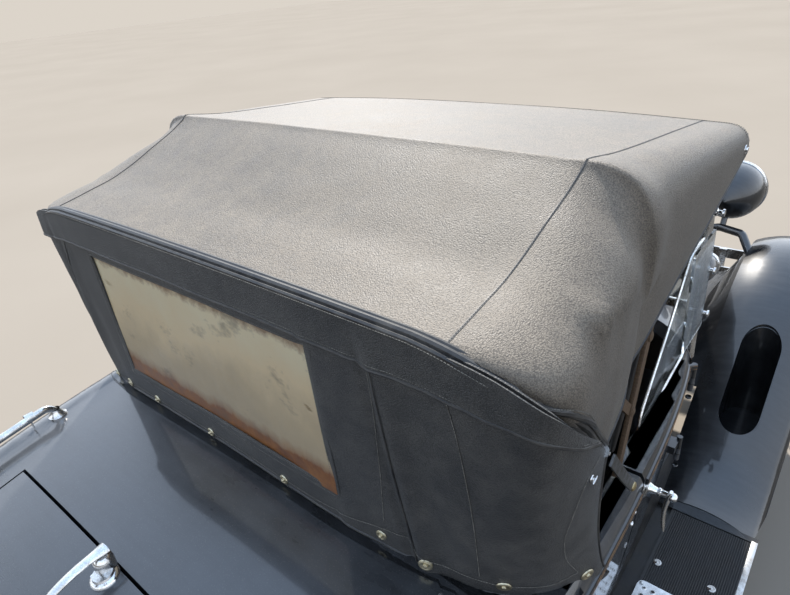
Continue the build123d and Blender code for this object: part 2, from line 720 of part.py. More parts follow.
def make_bumpers():
    front = []
    rear = []
    for z in BUMPER_BARS:
        front.append(block(-BUMPER_HALF, BUMPER_HALF, BUMPER_FRONT, BUMPER_FRONT + BUMPER_BAR_DEPTH,
                           z, z + BUMPER_BAR_HEIGHT))
        rear.append(block(330, BUMPER_HALF, BUMPER_REAR - BUMPER_BAR_DEPTH, BUMPER_REAR,
                          z, z + BUMPER_BAR_HEIGHT))
    low = BUMPER_BARS[0]
    high = BUMPER_BARS[1] + BUMPER_BAR_HEIGHT
    for side in (-1, 1):
        x = side * (RAIL_OUTER_X - RAIL_WIDTH / 2)
        front.append(block(x - 18, x + 18, BUMPER_FRONT + BUMPER_BAR_DEPTH, BUMPER_FRONT + 24, low, high))
        front.append(block(x - 18, x + 18, BUMPER_FRONT + 24, RAIL_FRONT,
                           FRAME_TOP - 80, FRAME_TOP - 30))
    x = RAIL_OUTER_X - RAIL_WIDTH / 2
    rear.append(block(x - 18, x + 18, BUMPER_REAR - 24, BUMPER_REAR - BUMPER_BAR_DEPTH, low, high))
    rear.append(block(x - 18, x + 18, RAIL_REAR, BUMPER_REAR - 24, FRAME_TOP - 80, FRAME_TOP - 30))
    end = block(BUMPER_HALF - 60, BUMPER_HALF - 30, BUMPER_REAR - 24,
                BUMPER_REAR - BUMPER_BAR_DEPTH, low, high)
    rear_left = joined(rear + [end])
    return Compound(children=[joined(front), rear_left, mirrored(rear_left)])


# Body tub: hollow cabin and rumble compartment, with openings for the doors and the lid
FIREWALL_SHEET = 22.0
TAIL_SHEET = 28.0
SIDE_TOP = 52.0
HINGE_X = 624.0
HINGE_S = 1247.0
HINGE_RADIUS = 7.0
HINGE_HEIGHTS = (745.0, 985.0)
HINGE_LENGTH = 40.0
LID_HINGE_S = LID_REAR + 3.0
LID_HINGE_Z = 941.0
LID_HINGE_X = 240.0
LID_HINGE_RADIUS = 8.0
LID_HINGE_LENGTH = 34.0
SEAT_BULKHEAD = 22.0


def plan_prism(points, z0, z1):
    """Upright prism over an outline of (x, station) points, mirrored about the middle."""
    right = [(-x, s) for x, s in reversed(points)]
    outline = Polyline(*[(x, along(s)) for x, s in points + right], close=True)
    return extrude(Plane(origin=(0, 0, z0)) * make_face(outline), amount=z1 - z0)


def lid_prism(grow):
    return plan_prism([
        (LID_HALF_FRONT + grow, LID_FRONT - grow), (LID_HALF_REAR + grow, LID_REAR + grow)],
        650, 1300)


def cabin_prism():
    front_half = BODY_ROWS[1][2] - SIDE_TOP
    middle_half = BODY_ROWS[2][2] - SIDE_TOP
    rear_half = BODY_ROWS[3][2] - SIDE_TOP
    return plan_prism([
        (front_half, POST + 26), (middle_half, DOOR_REAR), (rear_half, CABIN_REAR)], 960, 1300)


def make_tub(outer, cavity):
    cabin = cavity & block(-700, 700, FIREWALL + FIREWALL_SHEET, CABIN_REAR, 0, 1300)
    rumble = cavity & block(-700, 700, CABIN_REAR + SEAT_BULKHEAD, TAIL - TAIL_SHEET, 0, 1300)
    tub = outer - cabin - rumble - cabin_prism()
    tub = tub - block(-700, 700, POST + 26, CABIN_REAR, BELT_Z, 1300)
    for side in (-1, 1):
        tub = tub - block(side * 380, side * 700, DOOR_FRONT, DOOR_REAR, DOOR_BOTTOM, 1300)
        for z in HINGE_HEIGHTS:
            tub = tub + post(side * HINGE_X, HINGE_S, z, z + HINGE_LENGTH, HINGE_RADIUS)
            tub = tub + block(side * 575, side * HINGE_X, DOOR_FRONT - 30, DOOR_FRONT - 1,
                              z + 8, z + HINGE_LENGTH - 8)
            tub = tub + block(side * (HINGE_X - 5), side * HINGE_X, DOOR_FRONT - 2, HINGE_S,
                              z + 8, z + HINGE_LENGTH - 8)
    tub = tub - lid_prism(GAP)
    for side in (-1, 1):
        tub = tub + lid_hinge_leaf(side * LID_HINGE_X, LID_HINGE_S, LID_HINGE_S + 30)
    return tub - column_rod(COLUMN_RADIUS + 5)


def lid_hinge_leaf(x, s0, s1):
    """Barrel of the lid's hinge with its leaf, which runs from one station to the other."""
    half = LID_HINGE_LENGTH / 2
    barrel_piece = disc(x - half, x + half, LID_HINGE_S, LID_HINGE_Z, LID_HINGE_RADIUS)
    leaf = block(x - half, x + half, s0, s1, LID_HINGE_Z - 46, LID_HINGE_Z + 3)
    if s1 > LID_HINGE_S:
        step = block(x - half, x + half, s1 - 12, s1, LID_HINGE_Z - 20, LID_HINGE_Z + 4)
        return barrel_piece + leaf - step
    return barrel_piece + leaf


def make_door(outer, cavity):
    slab = outer - cavity - cabin_prism()
    door = slab & block(380, 700, DOOR_FRONT + GAP, DOOR_REAR - DOOR_REAR_GAP,
                        DOOR_BOTTOM + GAP, BELT_Z)
    door = largest(door)
    for z in HINGE_HEIGHTS:
        low = z + HINGE_LENGTH + 1
        barrel_post = post(HINGE_X, HINGE_S, low, low + HINGE_LENGTH, HINGE_RADIUS)
        lug = block(588, HINGE_X, HINGE_S, HINGE_S + 44, low + 8, low + HINGE_LENGTH - 8)
        lug = lug - cavity
        door = door + barrel_post + lug
    return door


# Door handle: round base, stem and a lever that hangs down
HANDLE_S = 1679.0
HANDLE_Z = 1039.0
HANDLE_STEM = 702.0
LEVER_LENGTH = 104.0


def make_door_handle(outer):
    base = disc(636, 664, HANDLE_S, HANDLE_Z, 23)
    stem = disc(640, HANDLE_STEM, HANDLE_S, HANDLE_Z, 10)
    lever = rod((HANDLE_STEM, HANDLE_S, HANDLE_Z), (HANDLE_STEM - 4, HANDLE_S + 6, HANDLE_Z - LEVER_LENGTH), 10)
    knob = Pos(HANDLE_STEM, along(HANDLE_S), HANDLE_Z) * Sphere(14)
    return joined([base, stem, knob, lever]) - outer


def make_lid(outer, skin):
    panel = (outer - skin) & lid_prism(0)
    panel = sorted(panel.solids(), key=lambda piece: piece.center().Z)[-1]
    for side in (-1, 1):
        x = side * (LID_HINGE_X + LID_HINGE_LENGTH + 1)
        panel = panel + (lid_hinge_leaf(x, LID_HINGE_S - 26, LID_HINGE_S) - skin)
    return panel


RUMBLE_PAD = 90.0
LID_HANDLE_Z = 1121.0


def make_rumble_back(skin, deep):
    """Pad on the lid's inner side, which is the seat's back when the lid is open."""
    pad = (skin - deep) & plan_prism([
        (LID_HALF_FRONT - 50, LID_FRONT + 40), (LID_HALF_REAR - 40, LID_REAR - 90)], 650, 1300)
    return sorted(pad.solids(), key=lambda piece: piece.center().Z)[-1]


def make_lid_handle(outer):
    """Round base, round lock and a tapered lever."""
    z = LID_HANDLE_Z
    base = post(0, LID_FRONT + 22, z - 8, z + 14, 25)
    lock = post(10, LID_FRONT + 12, z, z + 40, 17)
    lever = rod((12, LID_FRONT + 10, z + 27), (46, LID_FRONT + 104, z + 27), 11)
    return joined([base, lock, lever]) - outer


# Floor boards are part of the tub. The dash closes the cowl below the windscreen.
DASH_S = 1196.0
DASH_LOW = 985.0


def make_dash(cavity):
    plate = block(-620, 620, DASH_S, DASH_S + 16, DASH_LOW, 1250)
    plate = plate & cavity
    return largest(plate)


# Seats: riser, cushion and back in front, cushion in the rumble compartment
SEAT_HALF = 505.0
CUSHION_FRONT = 1430.0
CUSHION_TOP = 800.0
CUSHION_DEPTH = 130.0
BACK_FRONT = 1905.0
BACK_THICKNESS = 130.0
BACK_TOP = 1085.0


def make_seat_cushion():
    pad = block(-SEAT_HALF, SEAT_HALF, CUSHION_FRONT, BACK_FRONT + 60,
                CUSHION_TOP - CUSHION_DEPTH, CUSHION_TOP)
    pad = fillet(pad.edges().group_by(Axis.Z)[-1], 34)
    riser = block(-SEAT_HALF + 30, SEAT_HALF - 30, CUSHION_FRONT + 40, BACK_FRONT + 60,
                  SILL_Z + FLOOR, CUSHION_TOP - CUSHION_DEPTH)
    return pad + riser


def make_seat_back():
    lean = 70.0
    outline = [
        (BACK_FRONT, CUSHION_TOP + 2), (BACK_FRONT + BACK_THICKNESS, CUSHION_TOP + 2),
        (BACK_FRONT + BACK_THICKNESS + lean, BACK_TOP), (BACK_FRONT + lean + 20, BACK_TOP),
    ]
    pad = side_plate(outline, -SEAT_HALF, SEAT_HALF)
    return fillet(pad.edges().group_by(Axis.Z)[-1], 20)


def make_rumble_cushion():
    return block(-400, 400, 2330, 2700, SILL_Z + FLOOR, SILL_Z + FLOOR + 190)


# Windscreen frame, glass and side wings
SCREEN_LOW = (600.0, 1222.0, 1170.0)
SCREEN_HIGH = (596.0, 1290.0, 1540.0)
SCREEN_BAR = 13.0


def make_screen_frame(outer):
    low = SCREEN_LOW
    high = SCREEN_HIGH
    pieces = []
    for side in (-1, 1):
        pieces.append(rod((side * (low[0] - 4), low[1] - 18, 1060), (side * high[0], high[1], high[2]),
                          SCREEN_BAR + 2))
    pieces.append(rod((-high[0], high[1], high[2]), (high[0], high[1], high[2]), SCREEN_BAR))
    pieces.append(rod((-low[0], low[1] + 8, low[2] + 46), (low[0], low[1] + 8, low[2] + 46), SCREEN_BAR))
    return joined(pieces) - outer


GLASS = 6.0


def leaning_glass(x0, x1, low, high):
    """Flat glass between two lines across the car, given as (station, z)."""
    s0, z0 = low
    s1, z1 = high
    outline = [(s0 - GLASS / 2, z0), (s0 + GLASS / 2, z0), (s1 + GLASS / 2, z1), (s1 - GLASS / 2, z1)]
    return side_plate(outline, x0, x1)


def make_glass():
    low = SCREEN_LOW
    high = SCREEN_HIGH
    z0 = low[2] + 46 + SCREEN_BAR + 0.5
    z1 = high[2] - SCREEN_BAR - 0.5
    slope = (high[1] - low[1] - 8) / (high[2] - low[2] - 46)

    def station(z):
        return low[1] + 8 + (z - low[2] - 46) * slope

    pane = leaning_glass(-high[0] + 22, high[0] - 22, (station(z0), z0), (station(z1), z1))
    side = side_plate([(1262, 1190), (1400, 1190), (1424, 1240), (1450, 1450), (1300, 1450)], 618, 623)
    return pane, side


# Small lamps: a side lamp on each cowl shoulder and a tail lamp on the left rear wing
TAIL_LAMP_X = 640.0
TAIL_LAMP_S = 3150.0
TAIL_LAMP_Z = 650.0


def make_small_lamps(outer, wing):
    x = 548.0
    s = 985.0
    z = 1190.0
    shell = [
        Line((0, -64), (30, -64)), Line((30, -64), (36, -50)),
        ThreePointArc((36, -50), (28, 10), (0, 46)), Line((0, 46), (0, -64)),
    ]
    face = make_face(Wire([edge.edge() for edge in shell]).edges())
    plane = Plane(origin=(x, along(s), z), x_dir=(1, 0, 0), z_dir=(0, 0, 1))
    bowl = revolve(plane * face, axis=Axis((x, along(s), z), (0, 1, 0)))
    stem = rod((x, s, z), (x - 66, s, z - 110), 9)
    cowl = (bowl + stem) - outer
    cowl = largest(cowl)
    tail = barrel(TAIL_LAMP_X, TAIL_LAMP_S, TAIL_LAMP_S + 62, TAIL_LAMP_Z, 44)
    arm = barrel(TAIL_LAMP_X, TAIL_LAMP_S - 70, TAIL_LAMP_S + 2, TAIL_LAMP_Z, 13) - wing
    arm = sorted(arm.solids(), key=lambda piece: piece.center().Y)[-1]
    return cowl, tail + arm


# Folding top
# Columns as in the body's table
TOP_FRONT_ROWS = [
    (HEADER, 636, 634, 1598, 550, 1650, HEADER_Z + 1),
    (1500, 634, 633, 1602, 530, 1688, 1698),
    (MID_BOW, 642, 636, 1588, 516, 1714, MID_BOW_Z + 3),
]
TOP_REAR_ROWS = [
    (MID_BOW, 642, 636, 1588, 516, 1714, MID_BOW_Z + 3),
    (1920, 652, 644, 1552, 534, 1662, 1679),
    (REAR_BOW, 662, 660, 1546, 560, 1594, REAR_BOW_Z + 4),
]
# Lower edge of the top in the side view: station, z
HEM = [
    (HEADER, 1596), (1300, 1556), (1447, 1503), (1629, 1437), (1740, 1386), (1840, 1343),
    (1925, 1313), (2000, 1397), (2082, 1494), (REAR_BOW, 1572),
]
TOP_FOOT = 1240.0


def top_loft(inset):
    """The cloth is smooth from header to middle bow, breaks there and runs on to the rear bow."""
    front, rear = [
        Solid.make_loft([section(row, inset, bottom=TOP_FOOT) for row in rows])
        for rows in (TOP_FRONT_ROWS, TOP_REAR_ROWS)
    ]
    return front + rear


def make_top(outer_top, inner_top):
    above = HEM + [(REAR_BOW + 10, 1572), (REAR_BOW + 10, 1850), (HEADER - 10, 1850),
                   (HEADER - 10, HEM[0][1])]
    region = side_plate(above, -760, 760)
    shell = (outer_top - inner_top) & region
    header = outer_top & block(-700, 700, HEADER, HEADER + 16, HEM[0][1], 1800)
    return shell + header


CURTAIN_SHEET = 6.0
CURTAIN_FRONT = 1905.0
CURTAIN_BACK = REAR_BOW + 12.0
CURTAIN_LOW = 1060.0
CURTAIN_HIGH = 1620.0
WINDOW_RIGHT = -262.0
WINDOW_LEFT = 403.0
WINDOW_LOW = 1218.0
WINDOW_HIGH = 1516.0
WINDOW_SHEET = 3.0
# Half of the curtain's outline from the quarter to the back, which turns a sharp corner below
# the roof and a wide one over the deck
# Columns: half width and station at the roof, half width and station at the deck
CURTAIN_ROWS = [
    (643, CURTAIN_FRONT - 40, 648, CURTAIN_FRONT - 40),
    (650, 1985, 647, 1950),
    (652, 2090, 612, 2035),
    (640, 2146, 545, 2090),
    (575, CURTAIN_BACK - 2, 460, 2136),
    (480, CURTAIN_BACK, 420, CURTAIN_BACK),
]


def curtain_outline(column, z, inset):
    """Closed outline at one height, drawn in square to the cloth."""
    half = [(row[column], row[column + 1]) for row in CURTAIN_ROWS]
    moved = []
    for i, (x, s) in enumerate(half):
        x0, s0 = half[max(i - 1, 0)]
        x1, s1 = half[i + 1] if i + 1 < len(half) else (x - 100, s)
        length = hypot(x1 - x0, s1 - s0)
        moved.append((x - inset * (s1 - s0) / length, s - inset * (x0 - x1) / length))
    ring = moved + [(-x, s) for x, s in reversed(moved)]
    return Polyline(*[(x, along(s), z) for x, s in ring], close=True)


def curtain_ring(inset):
    low = Wire(curtain_outline(2, CURTAIN_LOW, inset).edges())
    high = Wire(curtain_outline(0, CURTAIN_HIGH, inset).edges())
    return Solid.make_loft([low, high], True)


def make_curtain(body):
    wall = curtain_ring(0) - curtain_ring(CURTAIN_SHEET)
    # front edge of the quarter, and the top edge below the roof
    shape = [(CURTAIN_FRONT, CURTAIN_LOW), (1946, 1200), (1934, 1295), (2006, 1386), (2088, 1482),
             (REAR_BOW - 2, 1556), (REAR_BOW + 4, 1590), (CURTAIN_BACK + 20, 1590),
             (CURTAIN_BACK + 20, CURTAIN_LOW)]
    wall = wall & side_plate(shape, -760, 760)
    wall = wall - block(WINDOW_RIGHT, WINDOW_LEFT, CURTAIN_BACK - 30, CURTAIN_BACK + 60,
                        WINDOW_LOW, WINDOW_HIGH)
    wall = wall - body
    return largest(wall)


def make_window():
    outer = CURTAIN_BACK - (CURTAIN_SHEET - WINDOW_SHEET) / 2
    return block(WINDOW_RIGHT, WINDOW_LEFT, outer - WINDOW_SHEET, outer, WINDOW_LOW, WINDOW_HIGH)


# Bows: hoops across the car whose legs meet at a bracket on each side
BOW_RADIUS = 11.0
BOW_PIVOT = (582.0, 1752.0, 1070.0)
# Columns: station, height of the hoop, half width at its shoulder
BOWS = [
    (1492.0, 1662.0, 560.0),
    (MID_BOW, 1680.0, 556.0),
    (REAR_BOW - 34.0, 1556.0, 536.0),
]


def make_bows(body):
    px, ps, pz = BOW_PIVOT
    pieces = []
    for station, height, half in BOWS:
        points = [(px, ps, pz), (half + 24, station, height - 90), (half - 40, station, height)]
        points = points + [(-x, s, z) for x, s, z in reversed(points)]
        pieces.append(bent_rod(points, 30.0, BOW_RADIUS))
    for side in (-1, 1):
        pieces.append(block(side * (px - 14), side * 625, ps - 26, ps + 26, pz - 40, pz + 16))
    whole = joined(pieces) - body
    return largest(whole)


# Grab rails along both sides of the rear deck
RAIL_BAR = 9.0


def make_grab_rail(body):
    z = 1142.0
    bar = bent_rod([
        (556, 2306, 1080), (556, 2306, z), (530, 2640, z - 26), (530, 2640, 1040)], 28.0, RAIL_BAR)
    rail = bar - body
    return largest(rail)


# Steering column and wheel
COLUMN_X = 330.0
COLUMN_FOOT = (800.0, 640.0)
WHEEL_CENTRE = (1470.0, 1010.0)
STEER_RADIUS = 212.0
STEER_RIM = 11.0
COLUMN_RADIUS = 19.0
HUB_HALF = 22.0


def column_plane():
    s0, z0 = COLUMN_FOOT
    s1, z1 = WHEEL_CENTRE
    axis = Vector(0, s1 - s0, z1 - z0).normalized()
    return Plane(origin=(COLUMN_X, along(s1), z1), x_dir=(1, 0, 0), z_dir=axis)


def column_rod(radius):
    """Tube from the column's foot to just below the steering wheel's hub."""
    plane = column_plane()
    reach = hypot(WHEEL_CENTRE[0] - COLUMN_FOOT[0], WHEEL_CENTRE[1] - COLUMN_FOOT[1])
    origin = plane.origin - plane.z_dir * reach
    base = Plane(origin=origin, x_dir=(1, 0, 0), z_dir=plane.z_dir)
    return extrude(base * Circle(radius), amount=reach - HUB_HALF - 6)


def make_steering_wheel():
    plane = column_plane()
    rim = plane * Torus(STEER_RADIUS, STEER_RIM)
    hub = plane * Cylinder(32, 2 * HUB_HALF)
    whole = rim + hub
    for i in range(4):
        spoke = plane * Rot(0, 0, 45 + 90 * i) * Pos(STEER_RADIUS / 2, 0, 0) * Box(
            STEER_RADIUS - 4, 18, 9)
        whole = whole + spoke
    return whole


# Exhaust: pipe and silencer along the right side below the floor
def make_exhaust():
    pipe = bent_rod([
        (-235, 620, 440), (-255, 900, 405), (-255, 1500, 400), (-255, 2120, 400), (-255, 2330, 440)],
        90.0, 22)
    silencer = barrel(-255, 1500, 1980, 400, 62)
    tail = rod((-255, 2300, 434), (-255, 2440, 440), 20)
    inner = RAIL_OUTER_X - RAIL_WIDTH
    hanger = block(-270, -240, 1720, 1760, 450, 550) + block(-inner, -240, 1720, 1760, 538, 550)
    return joined([pipe, silencer, hanger])


# Body shapes shared by several pieces
body = body_outer()
cavity = body_inner(WALL)
lid_skin = Solid.make_loft([section(row, LID_THICKNESS) for row in BODY_ROWS])
lid_deep = Solid.make_loft([section(row, LID_THICKNESS + RUMBLE_PAD) for row in BODY_ROWS])

# Chassis
save(make_frame(), "frame")
save(make_engine(), "engine_block")
save(make_front_axle(), "front_axle")
save(make_rear_axle(), "rear_axle")
save(make_exhaust(), "exhaust")
save(make_bumpers(), "bumpers")
front_wing = make_front_wing()
rear_wing = make_rear_wing(body)
save(pair(front_wing), "front_wings")
save(pair(rear_wing), "rear_wings")
save(pair(make_running_board() - front_wing - rear_wing), "running_boards")

# Wheels and steering
for end, station in (("front", 0.0), ("rear", WHEELBASE)):
    tyre = make_tyre(station)
    wheel = make_wheel(station)
    save(tyre, f"tyre_{end}_left")
    save(mirrored(tyre), f"tyre_{end}_right")
    save(wheel, f"wheel_{end}_left")
    save(mirrored(wheel), f"wheel_{end}_right")
save(make_knuckle(1), "knuckle_left")
save(make_knuckle(-1), "knuckle_right")
save(make_tie_rod(), "tie_rod")
save(column_rod(COLUMN_RADIUS), "steering_column")
save(make_steering_wheel(), "steering_wheel")

# Front end
save(make_radiator_shell(), "radiator_shell")
save(make_radiator_core(), "radiator_core")
save(largest(make_headlamps() - front_wing - mirrored(front_wing)), "headlamps")
hood = make_hood()
save(hood, "hood_left")
save(mirrored(hood), "hood_right")

# Body
save(make_tub(body, cavity), "body_tub")
door = make_door(body, cavity)
handle = make_door_handle(door)
save(door, "door_left")
save(mirrored(door), "door_right")
save(handle, "door_handle_left")
save(mirrored(handle), "door_handle_right")
lid = make_lid(body, lid_skin)
save(lid, "rumble_lid")
save(make_lid_handle(lid), "rumble_handle")
save(make_rumble_back(lid_skin, lid_deep), "rumble_back")
save(make_rumble_cushion(), "rumble_cushion")
save(make_dash(cavity), "dash")
save(make_seat_cushion(), "seat_cushion")
save(make_seat_back(), "seat_back")
save(pair(make_grab_rail(body)), "grab_rails")
cowl_lamp, tail_lamp = make_small_lamps(body, rear_wing)
save(Compound(children=[cowl_lamp, mirrored(cowl_lamp), tail_lamp]), "small_lamps")

# Windscreen and folding top
save(make_screen_frame(body), "screen_frame")
pane, side_glass = make_glass()
lens = make_lenses()
save(Compound(children=[pane, side_glass, mirrored(side_glass), lens, mirrored(lens)]), "glass")
outer_top = top_loft(0)
inner_top = top_loft(TOP_SHEET)
save(make_top(outer_top, inner_top), "top")
save(make_curtain(body), "rear_curtain")
save(make_window(), "rear_window")
save(make_bows(body), "top_bows")
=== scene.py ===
# %% [markdown]
# A 1920s roadster with its cloth top up, seen from above its right rear corner.
# The CAD parts are the fixed frame. Everything made here is dressed onto them:
# painted panels, coated cloth, stitching, plated fittings, wire wheels and glass.
# Sizes are in metres, the car faces -Y, +X is its left side and +Z is up.

# %% Load the car's parts
import math

import bmesh
import bpy
from mathutils import Matrix, Vector, noise
from mathutils.bvhtree import BVHTree


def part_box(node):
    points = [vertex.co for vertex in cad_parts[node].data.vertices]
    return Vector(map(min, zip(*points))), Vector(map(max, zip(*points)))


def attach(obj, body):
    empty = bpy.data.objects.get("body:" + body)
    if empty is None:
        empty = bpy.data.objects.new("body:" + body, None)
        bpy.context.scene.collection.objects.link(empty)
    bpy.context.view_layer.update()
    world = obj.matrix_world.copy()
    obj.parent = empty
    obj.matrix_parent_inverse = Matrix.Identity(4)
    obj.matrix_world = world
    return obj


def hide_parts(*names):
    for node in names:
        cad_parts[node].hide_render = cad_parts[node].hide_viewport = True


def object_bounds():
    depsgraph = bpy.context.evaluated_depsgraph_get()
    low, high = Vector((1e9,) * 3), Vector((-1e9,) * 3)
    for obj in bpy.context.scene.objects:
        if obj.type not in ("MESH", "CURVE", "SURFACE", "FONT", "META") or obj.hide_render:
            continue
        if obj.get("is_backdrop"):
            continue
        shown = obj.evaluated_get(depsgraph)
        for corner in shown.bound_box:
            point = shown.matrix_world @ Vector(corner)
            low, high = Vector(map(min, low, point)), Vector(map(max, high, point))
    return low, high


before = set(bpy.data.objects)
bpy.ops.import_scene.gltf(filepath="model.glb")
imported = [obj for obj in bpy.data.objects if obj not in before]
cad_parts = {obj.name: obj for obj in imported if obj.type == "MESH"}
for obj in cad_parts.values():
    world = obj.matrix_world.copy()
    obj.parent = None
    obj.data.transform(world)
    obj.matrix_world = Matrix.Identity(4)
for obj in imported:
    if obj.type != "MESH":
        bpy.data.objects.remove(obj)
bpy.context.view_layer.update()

# %% [markdown]
# The camera stands where the photographer stood: about two metres up, held overhead behind the
# right rear wheel. Its place, its tilt and its lens were solved from the perspective of the top,
# the rear window and the running board. The horizon leans, so the camera is rolled as well.
# An Euler angle could hold the aim, but a matrix made of the view's own three axes is clearer.

# %% Place the camera
FRONT_AXLE_Y = -1.345
SENSOR_WIDTH = 36.0
PHOTO_WIDTH = 790
FOCAL_PIXELS = 579.3
CAMERA_PLACE = Vector((-0.845, 1.255, 1.975))
CAMERA_YAW = math.radians(41.57)
CAMERA_PITCH = math.radians(28.76)
CAMERA_ROLL = math.radians(-5.56)


def aim(yaw, pitch, roll):
    """Right, up and back axes of a camera that looks along yaw and down by pitch."""
    look = Vector((math.sin(yaw) * math.cos(pitch), -math.cos(yaw) * math.cos(pitch),
                   -math.sin(pitch)))
    right = look.cross(Vector((0, 0, 1))).normalized()
    up = right.cross(look)
    rolled_right = right * math.cos(roll) + up * math.sin(roll)
    rolled_up = up * math.cos(roll) - right * math.sin(roll)
    return rolled_right, rolled_up, -look


camera_data = bpy.data.cameras.new("photo_camera")
camera_data.sensor_width = SENSOR_WIDTH
camera_data.lens = FOCAL_PIXELS / PHOTO_WIDTH * SENSOR_WIDTH
camera_data.clip_start = 0.05
camera = bpy.data.objects.new("photo_camera", camera_data)
bpy.context.collection.objects.link(camera)
axes = aim(CAMERA_YAW, CAMERA_PITCH, CAMERA_ROLL)
camera.matrix_world = Matrix.Translation(CAMERA_PLACE) @ Matrix(axes).transposed().to_4x4()
bpy.context.scene.camera = camera
print("lens", round(camera_data.lens, 2), "mm")

# %% [markdown]
# A material is a small tree of nodes. Most finishes here are one shader whose colour, roughness
# and bump come from noise read in Object coordinates, so the grain has a real size in metres
# and stays on the part when a door or a wheel turns. One class holds the tree, and each of its
# short methods adds one usual branch, which keeps a finish to a few readable lines.

# %% Helpers for materials
class Finish:
    """A material's node tree with short names for the branches used below."""

    def __init__(self, name, colour, roughness, metallic=0.0):
        self.material = bpy.data.materials.new(name)
        self.material.use_nodes = True
        self.nodes = self.material.node_tree.nodes
        self.links = self.material.node_tree.links
        self.shader = self.nodes["Principled BSDF"]
        self.shader.inputs["Base Color"].default_value = (*colour, 1)
        self.shader.inputs["Roughness"].default_value = roughness
        self.shader.inputs["Metallic"].default_value = metallic
        self.coords = self.nodes.new("ShaderNodeTexCoord")

    def constant(self, **sockets):
        for key, value in sockets.items():
            self.shader.inputs[key.replace("_", " ")].default_value = value
        return self

    def mapped(self, scale=(1, 1, 1), turn=(0, 0, 0), shift=(0, 0, 0)):
        mapping = self.nodes.new("ShaderNodeMapping")
        mapping.inputs["Scale"].default_value = scale
        mapping.inputs["Rotation"].default_value = turn
        mapping.inputs["Location"].default_value = shift
        self.links.new(self.coords.outputs["Object"], mapping.inputs["Vector"])
        return mapping.outputs["Vector"]

    def noise(self, scale, detail=4.0, rough=0.55, vector=None, distortion=0.0):
        node = self.nodes.new("ShaderNodeTexNoise")
        node.inputs["Scale"].default_value = scale
        node.inputs["Detail"].default_value = detail
        node.inputs["Roughness"].default_value = rough
        node.inputs["Distortion"].default_value = distortion
        self.links.new(vector or self.coords.outputs["Object"], node.inputs["Vector"])
        return node.outputs["Fac"]

    def cells(self, scale, vector=None, feature="F1", randomness=1.0):
        node = self.nodes.new("ShaderNodeTexVoronoi")
        node.feature = feature
        node.inputs["Scale"].default_value = scale
        node.inputs["Randomness"].default_value = randomness
        self.links.new(vector or self.coords.outputs["Object"], node.inputs["Vector"])
        return node.outputs["Distance"]

    def ramp(self, source, stops):
        node = self.nodes.new("ShaderNodeValToRGB")
        elements = node.color_ramp.elements
        while len(elements) < len(stops):
            elements.new(0.5)
        for element, (place, colour) in zip(elements, stops):
            element.position = place
            element.color = (*colour, 1) if hasattr(colour, "__len__") else (colour,) * 3 + (1,)
        self.links.new(source, node.inputs["Fac"])
        return node.outputs["Color"]

    def mix(self, fac, first, second, kind="MIX"):
        node = self.nodes.new("ShaderNodeMix")
        node.data_type = "RGBA"
        node.blend_type = kind
        for socket, value in ((node.inputs["Factor"], fac), (node.inputs[6], first),
                              (node.inputs[7], second)):
            if isinstance(value, bpy.types.NodeSocket):
                self.links.new(value, socket)
            elif hasattr(value, "__len__"):
                socket.default_value = (*value, 1)
            else:
                socket.default_value = value
        return node.outputs[2]

    def math(self, operation, first, second=0.0):
        node = self.nodes.new("ShaderNodeMath")
        node.operation = operation
        for socket, value in zip(node.inputs, (first, second)):
            if isinstance(value, bpy.types.NodeSocket):
                self.links.new(value, socket)
            else:
                socket.default_value = value
        return node.outputs[0]

    def colour(self, source):
        self.links.new(source, self.shader.inputs["Base Color"])
        return self

    def rough(self, source):
        self.links.new(source, self.shader.inputs["Roughness"])
        return self

    def bump(self, height, strength, distance):
        node = self.nodes.new("ShaderNodeBump")
        node.inputs["Strength"].default_value = strength
        node.inputs["Distance"].default_value = distance
        self.links.new(height, node.inputs["Height"])
        if self.shader.inputs["Normal"].links:
            self.links.new(self.shader.inputs["Normal"].links[0].from_socket, node.inputs["Normal"])
        self.links.new(node.outputs["Normal"], self.shader.inputs["Normal"])
        return self


# %% [markdown]
# The body is black enamel, nearly a century old: still glossy enough to mirror the sky, with
# fine dust in the valleys and faint wiping marks. A clear coat over a near-black base gives the
# sharp mirror, and the roughness below it varies in soft clouds so the reflection breaks up.

# %% Black enamel
def make_enamel():
    finish = Finish("black_enamel", (0.010, 0.011, 0.013), 0.3)
    finish.constant(Coat_Weight=0.8, Coat_Roughness=0.05, IOR=1.5)
    clouds = finish.noise(3.5, 5.0, 0.6)
    wiping = finish.noise(60.0, 3.0, 0.6, finish.mapped((0.15, 1.0, 0.4)))
    dust = finish.math("MULTIPLY", clouds, wiping)
    finish.colour(finish.ramp(dust, [(0.15, (0.007, 0.008, 0.010)), (0.5, (0.035, 0.037, 0.041))]))
    finish.rough(finish.ramp(clouds, [(0.3, 0.22), (0.75, 0.50)]))
    finish.bump(finish.noise(9.0, 2.0), 0.08, 0.004)
    return finish.material


def make_satin_black(name="chassis_black", roughness=0.5):
    finish = Finish(name, (0.02, 0.02, 0.021), roughness)
    clouds = finish.noise(14.0, 5.0, 0.6)
    finish.colour(finish.ramp(clouds, [(0.35, (0.012, 0.012, 0.013)),
                                       (0.7, (0.045, 0.042, 0.038))]))
    finish.rough(finish.ramp(clouds, [(0.3, roughness - 0.1), (0.7, roughness + 0.18)]))
    finish.bump(finish.noise(160.0, 3.0), 0.25, 0.0006)
    return finish.material


